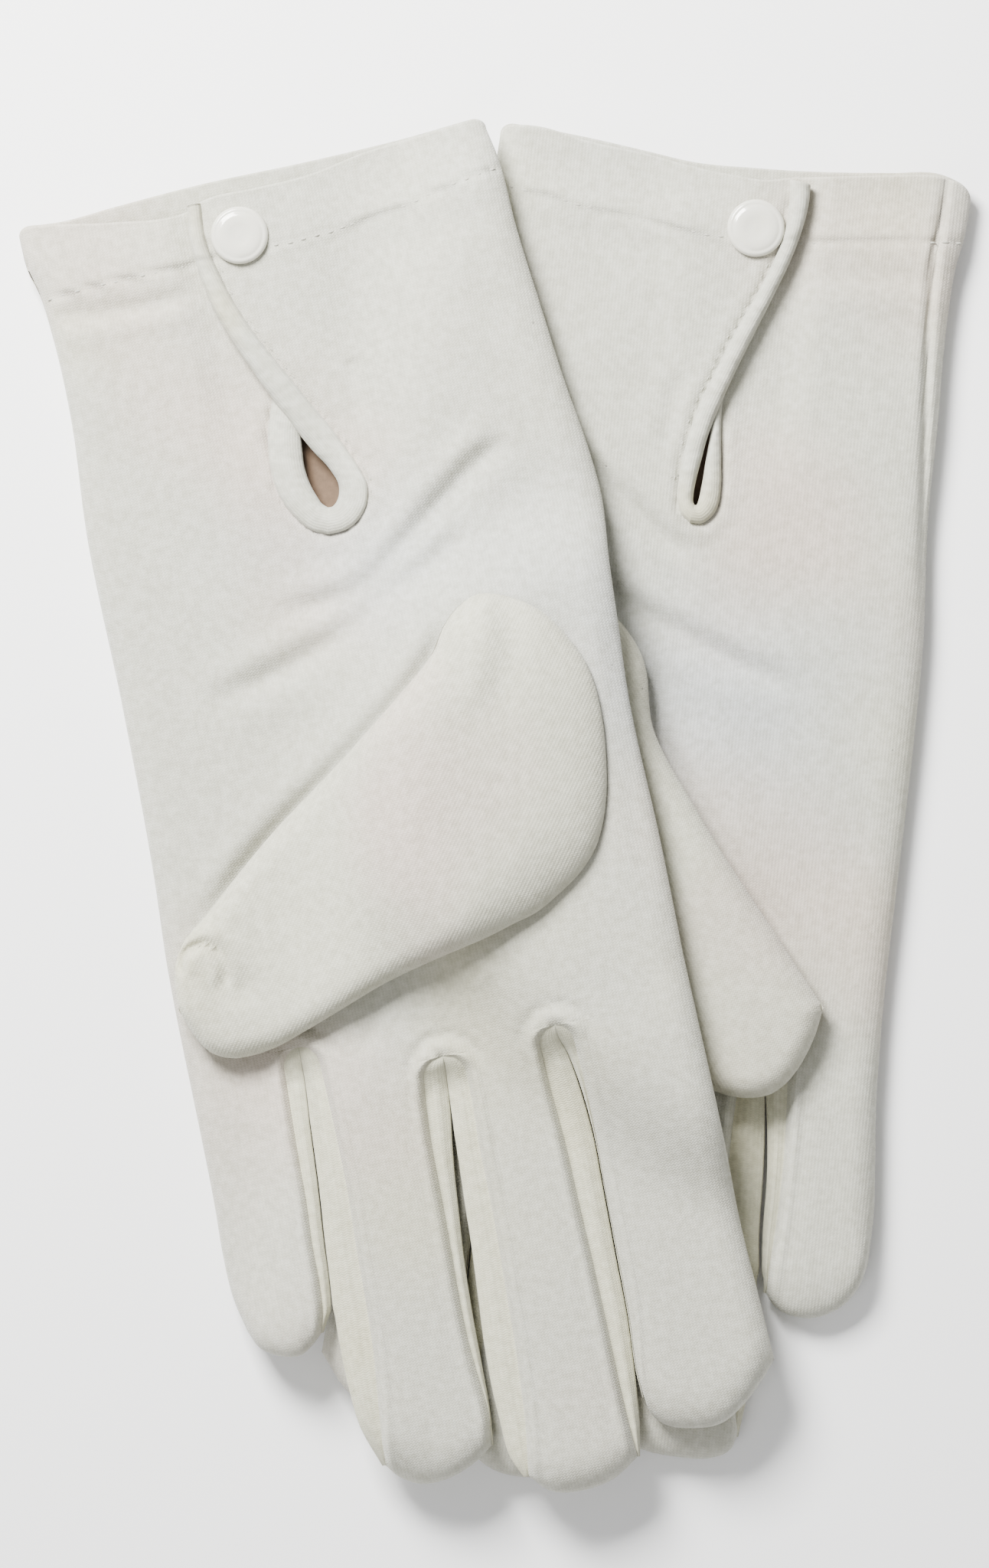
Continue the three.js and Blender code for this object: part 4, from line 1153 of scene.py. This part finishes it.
def build_thumb(g):
    top, bottom = path(g.data["thumb_top"], 160), path(g.data["thumb_bottom"], 160)
    loop = np.vstack([top, bottom[::-1][1:-1]])[::2]
    place = np.linspace(0, 1, len(top))

    def shape(a, b, side):
        p, q = (np.stack([np.interp(np.clip(b, 0, 1), place, line[:, k]) for k in (0, 1)])
                for line in (top, bottom))
        u, v = p * (1 - a) + q * a
        d, _, _ = distance(u, v, loop, closed=True)
        sewn = smoothstep((u - 2) / 30)  # 1 at the root, which is set into the palm
        # the palm without its seams and creases
        base = HAND_DEPTH + 0.1 + g.waves(u, v) * smoothstep((JOIN + 4 - v) / 25)
        mid = base + 0.5 + 2.9 * (1 - sewn)
        if side < 0:
            z = mid + (base + 0.35 - mid) * rolled(d, 5.0)
        else:
            crown = base + 6.9 - 1.0 * sewn + 0.9 * rolled(d, 16.0)
            edge = rolled(d, 4.2 + 11.0 * sewn)
            z = mid + (crown - mid) * edge + 0.5 * g.waves(u * 0.7, v * 0.8) * edge
            if g.side == "left":
                z = z + left_thumb_folds(u, v)
        c, s = math.cos(THUMB_GRAIN), math.sin(THUMB_GRAIN)
        return *g.place(u, v, z), u * c - v * s, u * s + v * c

    cols, rows = (0.5 - 0.5 * np.cos(np.pi * np.linspace(0, 1, n)) for n in (46, 120))
    for side, label in ((1, "thumb_upper"), (-1, "thumb_under")):
        points, quads, _, uv = surface_grid(lambda a, b: shape(a, b, side), cols, rows, (0, 0, side))
        o = mesh_object(f"{g.side}_{label}_cloth", points, quads, THUMB_KNIT, uv)
        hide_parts(f"{g.side}_{label}")
        if g.side == "left":
            g.at(42.6, 112, 8)
            g.at(22.0, 112, 8)
            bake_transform(o)
        else:
            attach(o, "right_glove")


# ---------- Stitches ----------

def stitches(g, name, line, height, spacing, length, width, bodies):
    total = np.linalg.norm(np.diff(path(line, 300), axis=0), axis=1).sum()
    centres = path(line, max(int(total / spacing), 2))
    points, faces, uv = [], [], []
    sections, around = (-1, -0.75, -0.3, 0.3, 0.75, 1), 6
    for (u, v), (du, dv) in zip(centres, np.gradient(centres, axis=0)):
        spacing_here = math.hypot(du, dv)
        du, dv = du / spacing_here, dv / spacing_here
        u, v = u + rng.normal(0, 0.08), v + rng.normal(0, 0.08)
        half = length / 2 * rng.uniform(0.85, 1.1)
        z = float(height(np.float64(u), np.float64(v)))
        k = len(points)
        for q in sections:
            size = width / 2 * math.sqrt(max(1 - q * q, 0.02))
            for i in range(around):
                w = 2 * math.pi * i / around
                s, h = size * math.cos(w), size * 0.8 * math.sin(w) - 0.22 * q * q + 0.04
                at = (u + du * half * q - dv * s, v + dv * half * q + du * s, z + h)
                points.append([float(c) for c in g.place(*(np.float64(c) for c in at))])
                uv.append((s, half * q))
        for low in range(k, k + around * (len(sections) - 1), around):
            for i in range(around):
                j = (i + 1) % around
                faces.append((low + i, low + j, low + around + j, low + around + i))
        faces.append(tuple(k + i for i in reversed(range(around))))
        faces.append(tuple(k + around * (len(sections) - 1) + i for i in range(around)))
    if g.hand > 0:
        faces = [f[::-1] for f in faces]
    o = mesh_object(name, points, faces, THREAD_PAINTED_SHADE, uv)
    if isinstance(bodies, str):
        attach(o, bodies)
    else:
        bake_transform(o)


def build_stitches(g):
    """The hem's stitches on each side of the vent and on the flap, and a row beside the flap's binding."""
    inner, outer, k = ribbon_lines(g)
    hem, glove, flap = g.data["hem"], f"{g.side}_glove", flap_bend(g)
    fold, last = float(hinge(11)), float(inner[2][0]) - 0.5

    def on_hem(start, end, n):
        return [(u, float(g.hem(u))) for u in np.linspace(start, end, n)]
    little_side = [(hem[0][0] + 1.0, hem[0][1])] + [p for p in hem[1:] if p[0] < last]
    little_side.append((last, float(g.hem(inner[2][0]))))
    on_flap, index_side = on_hem(float(outer[2][0]) + 6.6, fold - 0.4, 5), on_hem(fold + 1.4, 43.5, 8)
    for name, line, height, bodies in (
            ("little", little_side, lambda u, v: g.rounded(u, v, g.underlap_top(u, v)), glove),
            ("flap", on_flap, g.flap_top, flap),
            ("index", index_side, lambda u, v: g.rounded(u, v, g.palm_top(u, v)), glove)):
        stitches(g, f"{g.side}_hem_stitches_{name}", line, lambda u, v: height(u, v) + 0.05, 2.2, 1.35, 0.42,
                 bodies)
    edge = [(u + 0.75, v) for u, v in outer[2:k - 2]]
    stitches(g, f"{g.side}_flap_stitches", edge, lambda u, v: g.flap_top(u, v) - 0.1, 2.0, 1.2, 0.3, flap)


# ---------- Snaps ----------

CAP = [(0, 1.28), (0.8, 1.27), (1.6, 1.33), (2.3, 1.42), (3.0, 1.44), (3.7, 1.36), (4.15, 1.2), (4.35, 1.1),
       (4.55, 1.12), (4.8, 1.08), (5.1, 0.86), (5.3, 0.5), (5.35, 0.22), (5.25, 0.02), (4.9, -0.06),
       (0, -0.06)]
SOCKET = [(0, 0), (4.3, 0), (4.6, -0.2), (4.6, -0.7), (4.3, -0.95), (3.4, -1.1), (3.2, -1.75), (2.9, -1.8),
          (2.6, -1.7),
          (2.55, -0.8), (2.3, -0.7), (0, -0.7)]
STUD = [(0, 1.6), (1.4, 1.6), (2.0, 1.5), (2.3, 1.25), (2.25, 0.95), (2.05, 0.8), (2.1, 0.62), (3.9, 0.6),
        (4.4, 0.5),
        (4.6, 0.3), (4.6, 0.05), (4.4, 0), (0, 0)]
BACK = [(0, -1.55), (1.5, -1.5), (3.2, -1.25), (4.2, -0.85), (4.6, -0.5), (4.6, -0.3), (0, -0.3)]


def build_snap(g):
    flap_at_snap = g.flap_top(*(np.float64(q) for q in SNAP))
    cloth = float(g.place(*(np.float64(q) for q in (*SNAP, flap_at_snap)))[2])
    for label, node_name, profile, body in (
            ("cap", "snap_cap", CAP, "flap"), ("socket", "snap_socket", SOCKET, "flap"),
            ("stud", "snap_stud", STUD, "glove"), ("rivet", "snap_back", BACK, "glove")):
        low, high = ([c / MM for c in end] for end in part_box(f"{g.side}_{node_name}"))
        base = dict(cap=cloth + 0.15, socket=high[2], stud=low[2], rivet=low[2] + 1.55)[label]
        outline = path(profile, 60)
        outline[0][0] = outline[-1][0] = 0.0
        points, faces = turn_faces([tuple(p) for p in outline], 72)
        cx, cy = [(low[k] + high[k]) / 2 for k in (0, 1)]
        points = [(cx + x, cy + y, base + h) for x, y, h in points]
        o = mesh_object(f"{g.side}_snap_{label}_moulding", points, [f[::-1] for f in faces], PLASTIC)
        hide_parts(f"{g.side}_{node_name}")
        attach(o, f"{g.side}_{body}")


for glove in (right, left):
    build_palm(glove)
    build_back(glove)
    build_card_painted_shade(glove)
    build_ribbons(glove)
    for finger in ORDER:
        build_finger(glove, finger)
    build_thumb(glove)
    build_stitches(glove)
    build_snap(glove)


# ---------- Stage, light and camera ----------

def stage():
    mesh = bpy.data.meshes.new("floor")
    s, z = 3.0, -0.0002
    mesh.from_pydata([(-s, -s, z), (s, -s, z), (s, s, z), (-s, s, z)], [], [(0, 1, 2, 3)])
    mesh.materials.append(material("floor_paper", (0.97, 0.97, 0.97), 0.95)[0])
    o = bpy.data.objects.new("floor", mesh)
    bpy.context.scene.collection.objects.link(o)


def light(name, location, target, size, power, colour):
    data = bpy.data.lights.new(name, "AREA")
    data.shape = "SQUARE"
    data.size, data.energy, data.color = size, power, colour
    o = bpy.data.objects.new(name, data)
    o.location = location
    o.rotation_euler = (Vector(target) - Vector(location)).to_track_quat("-Z", "Y").to_euler()
    bpy.context.scene.collection.objects.link(o)


stage()
light("key", (-0.26, 0.44, 0.50), (0.0, 0.04, 0), 0.28, 23.0, (1.0, 0.995, 0.975))
light("fill", (-0.35, -0.55, 0.80), (0, 0, 0), 0.5, 3.0, (0.985, 0.99, 1.0))
world = bpy.data.worlds.new("studio")
world.use_nodes = True
world.node_tree.nodes["Background"].inputs[0].default_value = (1, 1, 1, 1)
world.node_tree.nodes["Background"].inputs[1].default_value = 0.47
bpy.context.scene.world = world

VIEW_HEIGHT, DISTANCE = 290.8, 1400.0
VIEW_CENTRE = (47.3, -101.7)  # from the left snap
SUBJECT_HEIGHT = 8
low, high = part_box("left_snap_cap")
cx, cy = [(low[k] + high[k]) / 2 / MM for k in (0, 1)]
camera = bpy.data.cameras.new("camera")
camera.sensor_width = 36
camera.sensor_fit = "VERTICAL"
camera.sensor_height = 36
camera.lens = 36 * (DISTANCE - SUBJECT_HEIGHT) / VIEW_HEIGHT
camera.clip_end = 10
eye = bpy.data.objects.new("camera", camera)
eye.location = ((cx + VIEW_CENTRE[0]) * MM, (cy + VIEW_CENTRE[1]) * MM, DISTANCE * MM)
bpy.context.scene.collection.objects.link(eye)
bpy.context.scene.camera = eye
